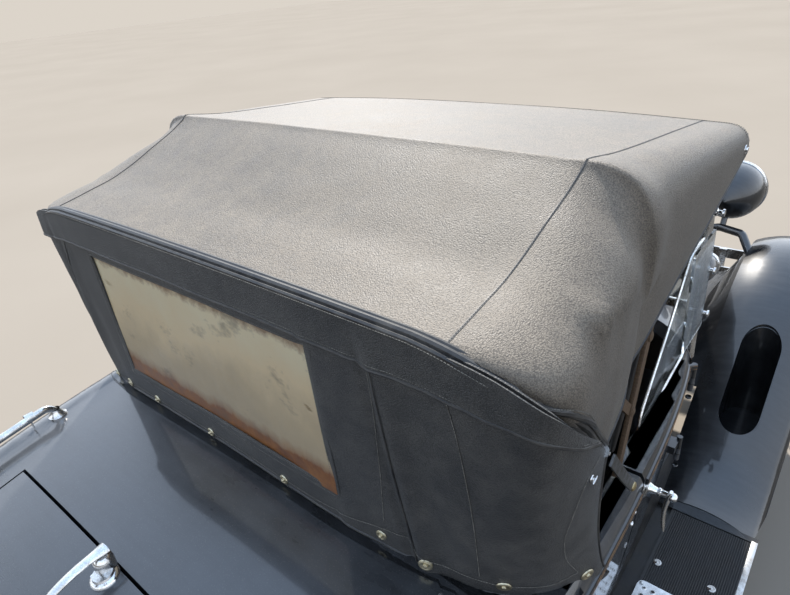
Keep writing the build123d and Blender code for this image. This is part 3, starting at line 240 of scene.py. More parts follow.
def make_dusty_painted_sky_enamel():
    """The flat deck, with fine dust and polish haze and a painted reflection of the sky."""
    finish = Finish("dusty_painted_sky_enamel", (0.05, 0.055, 0.062), 0.3)
    finish.constant(Coat_Weight=0.9, Coat_Roughness=0.06, IOR=1.5)
    clouds = finish.noise(3.0, 5.0, 0.62)
    wiping = finish.noise(46.0, 3.0, 0.6, finish.mapped((0.12, 1.0, 0.4)))
    specks = finish.ramp(finish.noise(420.0, 2.0, 0.7), [(0.60, 0.0), (0.68, 1.0)])
    haze = finish.math("ADD", finish.math("MULTIPLY", clouds, 0.8),
                       finish.math("MULTIPLY", wiping, 0.2))
    # Its blue-grey tone is partly dust and haze and partly a painted reflection of the sky.
    tone_with_painted_light = finish.ramp(haze, [(0.34, (0.030, 0.033, 0.038)), (0.68, (0.105, 0.115, 0.130))])
    finish.colour(finish.mix(finish.math("MULTIPLY", specks, 0.25), tone_with_painted_light, (0.30, 0.29, 0.27)))
    finish.rough(finish.ramp(haze, [(0.3, 0.22), (0.75, 0.48)]))
    finish.bump(finish.noise(9.0, 2.0), 0.06, 0.004)
    return finish.material


enamel = make_enamel()
dusty_painted_sky_enamel = make_dusty_painted_sky_enamel()
chassis_black = make_satin_black()
wheel_black = make_satin_black("wheel_black", 0.28)

# %% [markdown]
# The top is cloth coated with black gum and embossed with a pebble grain under 2 mm across.
# Dust, sun and a painted sheen make it a warm grey, and steep faces get painted shade. Voronoi
# cells make the pebbles, a second, stretched layer gives the slanted lie of the grain, and broad
# noise lets the dust sit unevenly. The colour is darker in the hollows between the pebbles.

# %% Coated cloth for the top and the curtain
GRAIN = 620.0


def make_coated_cloth(name, dark, light, dust_low, dust_high, rough_low, rough_high, strength):
    finish = Finish(name, dark, 0.6)
    finish.constant(Sheen_Weight=0.15, Sheen_Roughness=0.5, Specular_IOR_Level=0.5)
    lie = finish.mapped((1.0, 0.72, 1.0), (0, 0, math.radians(28)))
    pebbles = finish.cells(GRAIN, lie, "SMOOTH_F1")
    fine = finish.noise(900.0, 2.0, 0.6)
    broad = finish.noise(7.0, 5.0, 0.62)
    patches = finish.noise(28.0, 4.0, 0.6)
    height = finish.math("ADD", finish.math("MULTIPLY", pebbles, 1.0),
                         finish.math("MULTIPLY", fine, 0.18))
    wear = finish.math("ADD", finish.math("MULTIPLY", broad, 0.55),
                       finish.math("MULTIPLY", patches, 0.45))
    # The dust ramp runs between the colours given; for the top both are set light as a painted
    # sheen.
    dusty = finish.ramp(wear, [(dust_low, dark), (dust_high, light)])
    valley = finish.ramp(pebbles, [(0.1, 1.0), (0.62, 0.42)])
    # Steep faces get a darker colour than upward ones: painted shade on the sides, partly dust that
    # settles on top.
    surface = finish.nodes.new("ShaderNodeNewGeometry")
    split = finish.nodes.new("ShaderNodeSeparateXYZ")
    finish.links.new(surface.outputs["Normal"], split.inputs[0])
    painted_side_shade = finish.ramp(split.outputs[2], [(0.15, 0.50), (0.85, 1.0)])
    dust_and_painted_side_shade = finish.mix(1.0, dusty, painted_side_shade, "MULTIPLY")
    finish.colour(finish.mix(1.0, dust_and_painted_side_shade, valley, "MULTIPLY"))
    finish.rough(finish.ramp(wear, [(0.35, rough_low), (0.7, rough_high)]))
    finish.bump(finish.math("SUBTRACT", 1.0, height), strength, 0.0012)
    return finish.material


# The top's colours are far lighter than its dark gum: partly dust, partly a painted sheen.
top_cloth = make_coated_cloth("top_cloth", (0.380, 0.318, 0.246), (0.595, 0.505, 0.400), 0.3, 0.7,
                              0.46, 0.60, 0.6)
curtain_cloth = make_coated_cloth("curtain_cloth", (0.095, 0.095, 0.095), (0.300, 0.288, 0.265),
                                  0.35, 0.75, 0.46, 0.62, 0.9)
lining_cloth = make_coated_cloth("lining_cloth", (0.05, 0.042, 0.032), (0.12, 0.10, 0.075),
                                 0.35, 0.75, 0.7, 0.85, 0.4)


def make_binding():
    finish = Finish("binding", (0.03, 0.03, 0.031), 0.42)
    weave = finish.noise(500.0, 3.0, 0.6)
    wear = finish.noise(22.0, 5.0, 0.6)
    finish.colour(finish.ramp(wear, [(0.4, (0.02, 0.02, 0.022)), (0.75, (0.12, 0.115, 0.105))]))
    finish.rough(finish.ramp(wear, [(0.3, 0.32), (0.7, 0.55)]))
    finish.bump(weave, 0.4, 0.0006)
    return finish.material


def make_thread():
    finish = Finish("thread", (0.09, 0.085, 0.075), 0.8)
    tone = finish.noise(120.0, 2.0)
    finish.colour(finish.ramp(tone, [(0.3, (0.14, 0.135, 0.12)), (0.7, (0.42, 0.40, 0.36))]))
    finish.bump(finish.noise(1500.0, 1.0), 0.5, 0.0004)
    return finish.material


binding = make_binding()
thread = make_thread()

# %% [markdown]
# Plated parts are silver with a faint haze and specks where the nickel has gone. Steel edges
# on the running boards are duller, and the little brass there is has tarnished to olive.

# %% Plated metal, brass, aluminium
def make_metal(name, bright, worn, rough_low, rough_high, scale):
    finish = Finish(name, bright, rough_low, 1.0)
    clouds = finish.noise(scale, 6.0, 0.65)
    specks = finish.noise(scale * 14, 2.0, 0.5)
    both = finish.math("MULTIPLY", clouds, finish.math("ADD", specks, 0.55))
    finish.colour(finish.ramp(both, [(0.35, bright), (0.75, worn)]))
    finish.rough(finish.ramp(both, [(0.3, rough_low), (0.72, rough_high)]))
    finish.bump(specks, 0.06, 0.0005)
    return finish.material


plated = make_metal("plated", (0.78, 0.79, 0.80), (0.42, 0.40, 0.37), 0.08, 0.34, 24.0)
steel = make_metal("worn_steel", (0.52, 0.52, 0.51), (0.30, 0.27, 0.24), 0.28, 0.55, 40.0)
brass = make_metal("brass", (0.52, 0.42, 0.24), (0.20, 0.17, 0.10), 0.32, 0.6, 160.0)
alloy = make_metal("alloy", (0.66, 0.67, 0.68), (0.46, 0.46, 0.45), 0.3, 0.5, 30.0)


def make_rubber(name, colour, dusty):
    finish = Finish(name, colour, 0.75)
    clouds = finish.noise(16.0, 5.0, 0.65)
    finish.colour(finish.ramp(clouds, [(0.35, colour), (0.75, dusty)]))
    finish.rough(finish.ramp(clouds, [(0.3, 0.6), (0.7, 0.88)]))
    finish.bump(finish.noise(420.0, 3.0), 0.35, 0.0006)
    return finish.material


tyre_rubber = make_rubber("tyre_rubber", (0.018, 0.018, 0.018), (0.06, 0.057, 0.052))
mat_rubber = make_rubber("mat_rubber", (0.055, 0.056, 0.058), (0.150, 0.145, 0.138))

# %% [markdown]
# The remaining finishes. Celluloid in the rear window has turned tan, with rust bleeding in from
# its lower frame and brown smudges, all laid out with gradients along the window's height. Its tan
# is painted far lighter and grows lighter upwards: painted light shining through from behind, with
# painted shade low down where the dark cabin lies behind it. The seats are brown leather with fine
# creases, and the radiator core is a grid of thin fins with painted shade in its dark openings.

# %% Celluloid, leather, glass, wood and iron
WINDOW_LOW, WINDOW_HIGH = 1.218, 1.516
WINDOW_RIGHT, WINDOW_LEFT = -0.262, 0.403


def make_celluloid():
    finish = Finish("celluloid", (0.50, 0.40, 0.25), 0.36)
    finish.constant(Coat_Weight=0.08, Coat_Roughness=0.3)
    height = WINDOW_HIGH - WINDOW_LOW
    rise = finish.mapped((1, 1, 1 / height), (0, 0, 0), (0, 0, -WINDOW_LOW / height))
    split = finish.nodes.new("ShaderNodeSeparateXYZ")
    finish.links.new(rise, split.inputs[0])
    broad = finish.noise(5.5, 5.0, 0.62)
    fine = finish.noise(38.0, 6.0, 0.7)
    streaks = finish.noise(16.0, 5.0, 0.7, finish.mapped((1.0, 1.0, 0.35)))
    # The film is set much lighter than the sheet's own tan and lighter upwards: painted light
    # shining through it from behind, with painted shade low down where the dark cabin is behind it.
    # The broad noise is the sheet's own uneven tone.
    patches = finish.math("ADD", finish.math("MULTIPLY", broad, 0.45),
                          finish.math("MULTIPLY", split.outputs[2], 0.60))
    tone_with_painted_light = finish.ramp(patches, [(0.25, (0.56, 0.45, 0.30)), (0.46, (0.72, 0.57, 0.36)),
                                 (0.60, (0.97, 0.77, 0.48)), (0.80, (1.0, 0.88, 0.60))])
    reach = finish.math("ADD", split.outputs[2], finish.math("MULTIPLY", streaks, -0.20))
    rust = finish.ramp(reach, [(-0.05, 0.95), (0.02, 0.6), (0.10, 0.0)])
    rusty = finish.ramp(fine, [(0.3, (0.20, 0.055, 0.012)), (0.7, (0.42, 0.17, 0.05))])
    colour = finish.mix(rust, tone_with_painted_light, rusty)
    edge = finish.math("ADD", finish.math("SUBTRACT", 1.0, split.outputs[2]),
                       finish.math("MULTIPLY", fine, 0.16))
    marks = finish.ramp(edge, [(0.10, 0.8), (0.16, 0.0)])
    colour = finish.mix(marks, colour, (0.24, 0.10, 0.04))
    blots = finish.noise(9.0, 4.0, 0.7, finish.mapped((1, 1, 1.6), shift=(0.9, 0, 0.37)))
    smudge = finish.ramp(blots, [(0.60, 0.0), (0.72, 0.5)])
    finish.colour(finish.mix(smudge, colour, (0.13, 0.10, 0.07)))
    finish.rough(finish.ramp(fine, [(0.3, 0.28), (0.7, 0.5)]))
    finish.bump(broad, 0.35, 0.012)
    finish.bump(fine, 0.12, 0.001)
    return finish.material


def make_leather():
    finish = Finish("seat_leather", (0.085, 0.045, 0.026), 0.45)
    creases = finish.cells(240.0, finish.mapped((1, 1, 0.8)), "DISTANCE_TO_EDGE")
    wear = finish.noise(9.0, 5.0, 0.6)
    finish.colour(finish.ramp(wear, [(0.35, (0.05, 0.026, 0.015)), (0.75, (0.16, 0.09, 0.052))]))
    finish.rough(finish.ramp(wear, [(0.3, 0.36), (0.7, 0.58)]))
    finish.bump(finish.ramp(creases, [(0.0, 0.0), (0.12, 1.0)]), 0.3, 0.0007)
    return finish.material


def make_glass(name, tint, roughness):
    finish = Finish(name, tint, roughness)
    finish.constant(Transmission_Weight=0.96, IOR=1.45)
    finish.rough(finish.ramp(finish.noise(30.0, 4.0), [(0.4, roughness), (0.8, roughness + 0.06)]))
    return finish.material


def make_wood():
    finish = Finish("bow_wood", (0.13, 0.08, 0.045), 0.6)
    grain = finish.noise(40.0, 5.0, 0.7, finish.mapped((0.6, 8.0, 8.0)), 1.5)
    finish.colour(finish.ramp(grain, [(0.3, (0.05, 0.03, 0.018)), (0.7, (0.22, 0.14, 0.08))]))
    finish.bump(grain, 0.2, 0.001)
    return finish.material


def make_core():
    finish = Finish("radiator_core", (0.03, 0.028, 0.025), 0.5, 0.5)
    fins = finish.cells(150.0, finish.mapped((1, 0.05, 1)), "DISTANCE_TO_EDGE", 0.0)
    # Fin edges stay light and the cells between them go near black: painted shade in the core's
    # openings.
    finish.colour(finish.ramp(fins, [(0.05, (0.16, 0.13, 0.09)), (0.16, (0.008, 0.008, 0.008))]))
    finish.bump(fins, 0.8, 0.004)
    return finish.material


def make_iron(name, colour, rust):
    finish = Finish(name, colour, 0.6, 0.2)
    clouds = finish.noise(11.0, 6.0, 0.65)
    finish.colour(finish.ramp(clouds, [(0.4, colour), (0.72, rust)]))
    finish.rough(finish.ramp(clouds, [(0.3, 0.5), (0.7, 0.82)]))
    finish.bump(finish.noise(210.0, 3.0), 0.4, 0.0008)
    return finish.material


celluloid = make_celluloid()
leather = make_leather()
clear_glass = make_glass("clear_glass", (0.93, 0.96, 0.95), 0.02)
lens_glass = make_glass("lens_glass", (0.95, 0.95, 0.92), 0.08)
red_glass = make_glass("red_glass", (0.6, 0.02, 0.015), 0.1)
bow_wood = make_wood()
core_finish = make_core()
cast_iron = make_iron("cast_iron", (0.045, 0.047, 0.045), (0.14, 0.09, 0.055))
rusty_steel = make_iron("exhaust_steel", (0.09, 0.075, 0.065), (0.22, 0.11, 0.055))
hard_rubber = make_rubber("steering_rubber", (0.012, 0.012, 0.013), (0.03, 0.029, 0.028))

# %% [markdown]
# The CAD pieces whose shape is already right stay in the scene. Their facets are welded, split
# only where the surface really turns a corner and shaded smooth, so enamel mirrors the sky in
# one clean sweep. Modifiers do this, and the mesh that came from CAD isn't touched.

# %% Finish the CAD pieces that stay
CREASE = math.radians(32)

FINISH_OF = {
    "frame": chassis_black, "engine_block": cast_iron, "front_axle": chassis_black,
    "rear_axle": chassis_black, "exhaust": rusty_steel, "bumpers": plated,
    "running_boards": chassis_black, "front_wings": enamel, "rear_wings": enamel,
    "knuckle_left": chassis_black, "knuckle_right": chassis_black, "tie_rod": chassis_black,
    "steering_column": enamel, "steering_wheel": hard_rubber, "radiator_shell": plated,
    "radiator_core": core_finish, "headlamps": enamel, "hood_left": enamel, "hood_right": enamel,
    "body_tub": dusty_painted_sky_enamel, "door_left": enamel, "door_right": enamel, "door_handle_left": plated,
    "door_handle_right": plated, "rumble_lid": dusty_painted_sky_enamel, "rumble_handle": plated,
    "dash": enamel, "grab_rails": plated, "small_lamps": enamel, "screen_frame": plated,
    "glass": clear_glass, "top_bows": chassis_black, "rumble_back": leather,
    "rumble_cushion": leather, "seat_cushion": leather, "seat_back": leather,
    "top": top_cloth, "rear_curtain": curtain_cloth, "rear_window": celluloid,
    "tyre_front_left": tyre_rubber, "tyre_front_right": tyre_rubber,
    "tyre_rear_left": tyre_rubber, "tyre_rear_right": tyre_rubber,
    "wheel_front_left": wheel_black, "wheel_front_right": wheel_black,
    "wheel_rear_left": wheel_black, "wheel_rear_right": wheel_black,
}


def finish_node(name, material):
    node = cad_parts[name]
    node.data.materials.clear()
    node.data.materials.append(material)
    node.data.polygons.foreach_set("use_smooth", [True] * len(node.data.polygons))
    weld = node.modifiers.new("weld", "WELD")
    weld.merge_threshold = 0.00004
    split = node.modifiers.new("corners", "EDGE_SPLIT")
    split.split_angle = CREASE
    node.modifiers.new("normals", "WEIGHTED_NORMAL")


for node_name, node_finish in FINISH_OF.items():
    finish_node(node_name, node_finish)
print(len(FINISH_OF), "CAD pieces finished")

# %% [markdown]
# New pieces come from a few small helpers. One turns a bmesh into an object that rides on a
# body, one sweeps a round or flat bar along a path, one lays stitches along a path and one spins
# a profile about an axis. A swept bar carries its own frame along, which keeps it from twisting.

# %% Helpers for geometry
UP = Vector((0, 0, 1))
BACK = Vector((0, 1, 0))
FORWARD = Vector((0, -1, 0))
LEFT = Vector((1, 0, 0))


def spot(x, station, z):
    """A point given by its distance behind the front axle instead of by y."""
    return Vector((x, FRONT_AXLE_Y + station, z))


def add_piece(name, mesh_builder, materials, body="root", smooth=38):
    mesh = bpy.data.meshes.new(name)
    bmesh.ops.recalc_face_normals(mesh_builder, faces=mesh_builder.faces)
    mesh_builder.to_mesh(mesh)
    mesh_builder.free()
    for material in materials if isinstance(materials, (list, tuple)) else [materials]:
        mesh.materials.append(material)
    mesh.shade_smooth()
    mesh.set_sharp_from_angle(angle=math.radians(smooth))
    piece = bpy.data.objects.new(name, mesh)
    bpy.context.collection.objects.link(piece)
    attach(piece, body)
    return piece


def round_outline(radius, sides=8):
    return [(radius * math.cos(2 * math.pi * i / sides), radius * math.sin(2 * math.pi * i / sides))
            for i in range(sides)]


def flat_outline(width, height):
    half, rise = width / 2, height
    return [(-half, 0), (-half * 0.85, rise * 0.7), (0, rise), (half * 0.85, rise * 0.7), (half, 0)]


def bar_outline(half_width, half_thickness):
    return [(-half_width, -half_thickness), (half_width, -half_thickness),
            (half_width, half_thickness), (-half_width, half_thickness)]


def hoop(centre, radius, count):
    """A circle of points around a centre, square to the car's length."""
    return [centre + Vector((radius * math.cos(math.tau * k / count), 0,
                             radius * math.sin(math.tau * k / count))) for k in range(count)]


def turned(turn):
    """A direction square to an axle, turned from the car's back upwards."""
    return Vector((0, math.cos(turn), math.sin(turn)))


def screw_places(centre, radius, angles, lift=0.0):
    """Places of screws on a level ring round a centre."""
    return [centre + Vector((radius * math.cos(math.radians(angle)),
                             radius * math.sin(math.radians(angle)), lift)) for angle in angles]


def run_length(points):
    return sum(math.dist(a, b) for a, b in zip(points, points[1:]))


def sweep(bm, points, outline, ups=None, closed=False, taper=None):
    """Sweep an outline along points. Its first axis lies across the path, its second along up."""
    points = [Vector(p) for p in points]
    count = len(points)
    rings = []
    up = None
    for i, point in enumerate(points):
        before = points[i - 1] if i or closed else point
        after = points[(i + 1) % count] if i < count - 1 or closed else point
        along = (after - before).normalized()
        if ups is not None:
            up = Vector(ups[i])
        elif up is None:
            up = UP if abs(along.z) < 0.9 else LEFT
        across = along.cross(up).normalized()
        up = across.cross(along).normalized()
        scale = taper[i] if taper else 1.0
        rings.append([bm.verts.new(point + (across * a + up * b) * scale) for a, b in outline])
    joints = count if closed else count - 1
    for i in range(joints):
        first, second = rings[i], rings[(i + 1) % count]
        for j in range(len(outline)):
            k = (j + 1) % len(outline)
            bm.faces.new((first[j], first[k], second[k], second[j]))
    if not closed:
        bm.faces.new(rings[0])
        bm.faces.new(rings[-1])


def rounded(points, radius, steps=5):
    """Round the corners of a path with arcs of about that radius."""
    points = [Vector(p) for p in points]
    path = [points[0]]
    for before, corner, after in zip(points, points[1:], points[2:]):
        back, ahead = before - corner, after - corner
        cut = min(radius, back.length * 0.45, ahead.length * 0.45)
        start, end = corner + back.normalized() * cut, corner + ahead.normalized() * cut
        for i in range(steps + 1):
            t = i / steps
            path.append(start * (1 - t) ** 2 + corner * 2 * t * (1 - t) + end * t * t)
    path.append(points[-1])
    return path


def walk(points, pitch):
    """Evenly spaced (place, direction, share of the way) along a path."""
    lengths = [(b - a).length for a, b in zip(points, points[1:])]
    total = sum(lengths)
    count = max(2, int(total / pitch))
    steps = []
    index, passed = 0, 0.0
    for i in range(count):
        goal = total * (i + 0.5) / count
        while passed + lengths[index] < goal:
            passed += lengths[index]
            index += 1
        share = (goal - passed) / lengths[index]
        direction = (points[index + 1] - points[index]).normalized()
        steps.append((points[index].lerp(points[index + 1], share), direction, index, share))
    return steps


def lay_stitches(bm, points, ups, pitch=0.0045, length=0.0032, radius=0.00055, lift=0.0004):
    """Short threads along a path, each dipping into the cloth at both of its ends."""
    for place, along, index, share in walk(points, pitch):
        up = Vector(ups[index]).lerp(Vector(ups[index + 1]), share).normalized()
        ends = [place + along * (length * t) + up * (lift * (1 - (2 * t) ** 2))
                for t in (-0.5, 0.0, 0.5)]
        sweep(bm, ends, round_outline(radius, 5), [up] * 3)


def turn_profile(bm, profile, centre, axis, steps=32, material=0):
    """Spin a profile of (distance along the axis, radius) about the axis through centre."""
    axis = Vector(axis).normalized()
    side = axis.orthogonal().normalized()
    verts = [bm.verts.new(Vector(centre) + axis * a + side * max(r, 0.0)) for a, r in profile]
    edges = [bm.edges.new(pair) for pair in zip(verts, verts[1:])]
    result = bmesh.ops.spin(bm, geom=verts + edges, cent=centre, axis=axis, angle=2 * math.pi,
                            steps=steps, use_merge=True)
    for face in {f for v in result["geom_last"] + verts if isinstance(v, bmesh.types.BMVert)
                 for f in v.link_faces}:
        face.material_index = material

# %% [markdown]
# The roof cloth hangs on a header bar, two bows and a rear bow. Each row of the table is the
# cloth's cross-section at one station: the flat roof, the rounded shoulder and the side. Rows
# between stations are interpolated, except at the middle bow, where the cloth breaks over the
# wood in a crease. Behind that bow it is stretched straight down to the rear bow.

# %% Shape of the roof
HEADER, MID_BOW, REAR_BOW, TIP = 1.215, 1.782, 2.150, 1.925
# Columns: station, half width of the flat roof, its edge's height, crown's height,
# half width at the shoulder's end, its height, how soon the shoulder turns down
ROOF_FRONT = [
    (1.205, 0.596, 1.647, 1.659, 0.636, 1.600, 0.004),
    (1.230, 0.596, 1.654, 1.667, 0.638, 1.602, 0.004),
    (1.500, 0.578, 1.681, 1.702, 0.632, 1.604, 0.008),
    (MID_BOW, 0.515, 1.716, 1.721, 0.623, 1.588, 0.010),
]
ROOF_REAR = [
    (MID_BOW, 0.515, 1.716, 1.721, 0.623, 1.588, 0.010),
    (1.840, 0.524, 1.690, 1.702, 0.634, 1.566, 0.014),
    (2.000, 0.546, 1.629, 1.644, 0.649, 1.534, 0.018),
    (2.080, 0.552, 1.612, 1.623, 0.656, 1.532, 0.016),
    (2.115, 0.546, 1.605, 1.614, 0.646, 1.538, 0.013),
    (2.138, 0.532, 1.601, 1.609, 0.618, 1.556, 0.010),
    (REAR_BOW, 0.500, 1.600, 1.606, 0.575, 1.582, 0.007),
]
SIDE_HEM = [(1.205, 1.594), (1.300, 1.556), (1.447, 1.503), (1.629, 1.437), (1.740, 1.386),
            (1.840, 1.343), (TIP, 1.313)]
BEAD_LINE = [(TIP, 1.313), (2.000, 1.397), (2.041, 1.449), (2.082, 1.490), (2.110, 1.519),
             (2.128, 1.541), (2.140, 1.563), (REAR_BOW, 1.586)]


def between(rows, key):
    """Smooth interpolation of a table whose first column is the key."""
    if key <= rows[0][0]:
        return rows[0][1:]
    if key >= rows[-1][0]:
        return rows[-1][1:]
    i = max(j for j in range(len(rows) - 1) if rows[j][0] <= key)
    low, high = rows[i], rows[i + 1]
    before, after = rows[max(i - 1, 0)], rows[min(i + 2, len(rows) - 1)]
    span = high[0] - low[0]
    t = (key - low[0]) / span
    values = []
    for c in range(1, len(low)):
        slope_low = (high[c] - before[c]) / (high[0] - before[0]) * span
        slope_high = (after[c] - low[c]) / (after[0] - low[0]) * span
        values.append((2 * t ** 3 - 3 * t ** 2 + 1) * low[c] + (t ** 3 - 2 * t ** 2 + t) * slope_low
                      + (3 * t ** 2 - 2 * t ** 3) * high[c] + (t ** 3 - t ** 2) * slope_high)
    return values


def fall(distance, width):
    """One at no distance, and close to nothing beyond the width."""
    return math.exp(-(distance / width) ** 2)


def ramp_up(value, start, end):
    """Nothing before the start, one after the end and even between them."""
    return min(max((value - start) / (end - start), 0.0), 1.0)


def roof_section(station):
    """Half of the cloth's cross-section, as (x, z) from the crown down to its free edge."""
    rows = ROOF_FRONT if station <= MID_BOW else ROOF_REAR
    half, edge, crown, out, low, drop = between(rows, station)
    end = between(SIDE_HEM if station <= TIP else BEAD_LINE, station)[0]
    points = [(half * i / 24, crown - (crown - edge) * (i / 24) ** 2.4) for i in range(25)]
    pull = (out + 0.003, edge - drop)
    for i in range(1, 17):
        t = i / 16
        x = half * (1 - t) ** 2 + 2 * pull[0] * t * (1 - t) + out * t * t
        z = edge * (1 - t) ** 2 + 2 * pull[1] * t * (1 - t) + low * t * t
        points.append((x, z))
    if end < low - 0.004:
        for i in range(1, 13):
            t = i / 12
            points.append((out + 0.004 * math.sin(math.pi * t) - 0.006 * t, low + (end - low) * t))
    else:
        points = [p for p in points if p[1] > end + 0.002 or p[0] < half]
        x = points[-1][0] + 0.0008
        points.append((x, end))
    return points


SECTION_CACHE = {}


def roof_base(station, share):
    """Place on the cloth: share 0 is the crown, share 1 the free edge, by length."""
    key = round(station, 5)
    if key not in SECTION_CACHE:
        points = [Vector(p) for p in roof_section(station)]
        lengths = [0.0]
        for a, b in zip(points, points[1:]):
            lengths.append(lengths[-1] + (b - a).length)
        SECTION_CACHE[key] = points, lengths
    points, lengths = SECTION_CACHE[key]
    goal = abs(share) * lengths[-1]
    i = min(max(j for j in range(len(lengths)) if lengths[j] <= goal + 1e-9), len(points) - 2)
    t = (goal - lengths[i]) / max(lengths[i + 1] - lengths[i], 1e-9)
    x, z = points[i].lerp(points[i + 1], min(t, 1.0))
    return spot(math.copysign(x, share) if share else 0.0, station, z)


# %% [markdown]
# Real cloth isn't as clean as a table. The middle bow pushes a rounded ridge through the
# shoulder and the side. Between the bows the roof sags a little, the side has a soft lump above
# its tip, and pulls run from the ridge to the hem. All of it is a small move along the normal.

# %% Folds and sag in the roof
SEAM_X = [(1.205, 0.547), (1.500, 0.531), (MID_BOW, 0.520), (2.000, 0.516), (REAR_BOW, 0.514)]


def seam_share(station):
    """Where the stitched seam between roof panel and side panel lies."""
    goal = between(SEAM_X, station)[0]
    points = roof_section(station)
    reach = 0.0
    for a, b in zip(points, points[1:]):
        if b[0] >= goal:
            reach += math.dist(a, b) * (goal - a[0]) / max(b[0] - a[0], 1e-6)
            break
        reach += math.dist(a, b)
    return reach / run_length(points)


def roof_relief(place, station):
    """How far the cloth stands off its smooth shape, in metres."""
    side = ramp_up(abs(place.x), 0.50, 0.59)
    behind = station - MID_BOW
    ridge = fall(behind, 0.060 if behind < 0 else 0.0085)
    relief = (0.0012 + 0.0125 * side) * ridge * (0.35 + 0.65 * ramp_up(place.z, 1.50, 1.60))
    relief -= 0.013 * side * fall(behind - 0.045, 0.042) * fall(place.z - 1.640, 0.060)
    front = math.sin(math.pi * ramp_up(station, 1.23, MID_BOW))
    rear = math.sin(math.pi * ramp_up(station, MID_BOW, REAR_BOW))
    relief -= 0.004 * front * (1 - side) + 0.005 * rear * (1 - side)
    shoulder_z = 1.563 + 0.16 * max(0.0, station - 1.90)
    along_side = ramp_up(station, 1.795, 1.845) * (1 - ramp_up(station, 2.000, 2.020))
    over = place.z - shoulder_z
    relief += 0.0050 * side * along_side * math.tanh(over / 0.006) * fall(over, 0.045)
    lump = spot(math.copysign(0.636, place.x), 1.995, 1.585)
    relief += 0.009 * fall((place - lump).length, 0.024)
    relief -= 0.006 * fall((place - lump - Vector((0, 0.030, -0.032))).length, 0.026)
    pulls = math.sin(58 * (station + 0.62 * place.z)) * 0.0010
    relief += pulls * side * fall(station - 1.88, 0.12)
    drift = Vector((place.x * 3.2, station * 5.5, place.z * 5.5))
    relief += 0.0020 * noise.noise(drift) * (0.5 + 0.5 * rear)
    creases = noise.noise(Vector((place.x * 7 + station * 4, station * 14 - place.x * 5, 3.1)))
    relief += 0.0010 * creases * rear
    return relief


def roof_point(station, share, lift=0.0):
    place = roof_base(station, share)
    step = 0.004
    ahead = roof_base(min(station + step, REAR_BOW), share)
    behind = roof_base(max(station - step, HEADER - 0.01), share)
    inner = roof_base(station, share - step * 2 if share > 0 else share + step * 2)
    outer = roof_base(station, max(min(share + step * 2, 1.0), -1.0) if share > 0
                      else max(share - step * 2, -1.0))
    normal = (ahead - behind).cross(outer - inner)
    if normal.length < 1e-9:
        normal = Vector((0, 0, 1))
    normal.normalize()
    if normal.z < 0 or (abs(normal.z) < 0.2 and normal.x * place.x < 0):
        normal = -normal
    return place + normal * (roof_relief(place, station) + lift), normal


ROOF_CELL = 0.0135
ROOF_COLUMNS = 96
FLAP_COLUMNS = 10


def make_roof_cloth():
    """One sheet from hem to hem and from the header to the rear bow."""
    stations = sorted({*[HEADER - 0.010 + i * ROOF_CELL for i in range(70)], TIP, REAR_BOW,
                       *[MID_BOW + d for d in (-0.009, -0.005, -0.002, 0, 0.0025, 0.005, 0.008)]})
    stations = [s for s in stations if s <= REAR_BOW]
    bm = bmesh.new()
    bmesh.ops.create_grid(bm, x_segments=ROOF_COLUMNS, y_segments=len(stations) - 1, size=1.0)
    bm.verts.ensure_lookup_table()
    columns = ROOF_COLUMNS + 1
    for index, vert in enumerate(bm.verts):
        row, column = divmod(index, columns)
        share = -1 + 2 * column / ROOF_COLUMNS
        vert.co = roof_point(stations[row], share)[0]
    front = sorted((e for e in bm.edges if e.is_boundary
                    and all(FLAP_COLUMNS < v.index < columns - 1 - FLAP_COLUMNS
                            for v in e.verts)),
                   key=lambda e: e.index)
    edges = front
    for move in (Vector((0, -0.006, -0.016)), Vector((0, 0.010, -0.018))):
        flap = bmesh.ops.extrude_edge_only(bm, edges=edges)["geom"]
        for vert in flap:
            if isinstance(vert, bmesh.types.BMVert):
                vert.co += move
        edges = [e for e in flap if isinstance(e, bmesh.types.BMEdge)]
    bmesh.ops.recalc_face_normals(bm, faces=bm.faces)
    bm.normal_update()
    if sum(f.normal.z * f.calc_area() for f in bm.faces) < 0:
        bmesh.ops.reverse_faces(bm, faces=bm.faces)
    bmesh.ops.solidify(bm, geom=bm.faces[:], thickness=0.004)
    return add_piece("roof_cloth", bm, [top_cloth, lining_cloth], smooth=50)


roof_cloth = make_roof_cloth()
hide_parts("top")
print("roof", [round(v, 3) for v in roof_cloth.dimensions])

# %% [markdown]
# The rear curtain is stretched between the rear bow and the deck. Its upper edge follows the
# roof's edge and turns sharply at the corner, while its lower edge makes a wide bend over the
# deck's shoulder, so the corner is a twisted surface. The table pairs points of both edges.
# The window sits off centre, as in the photograph, and its hole is cut between two table rows.

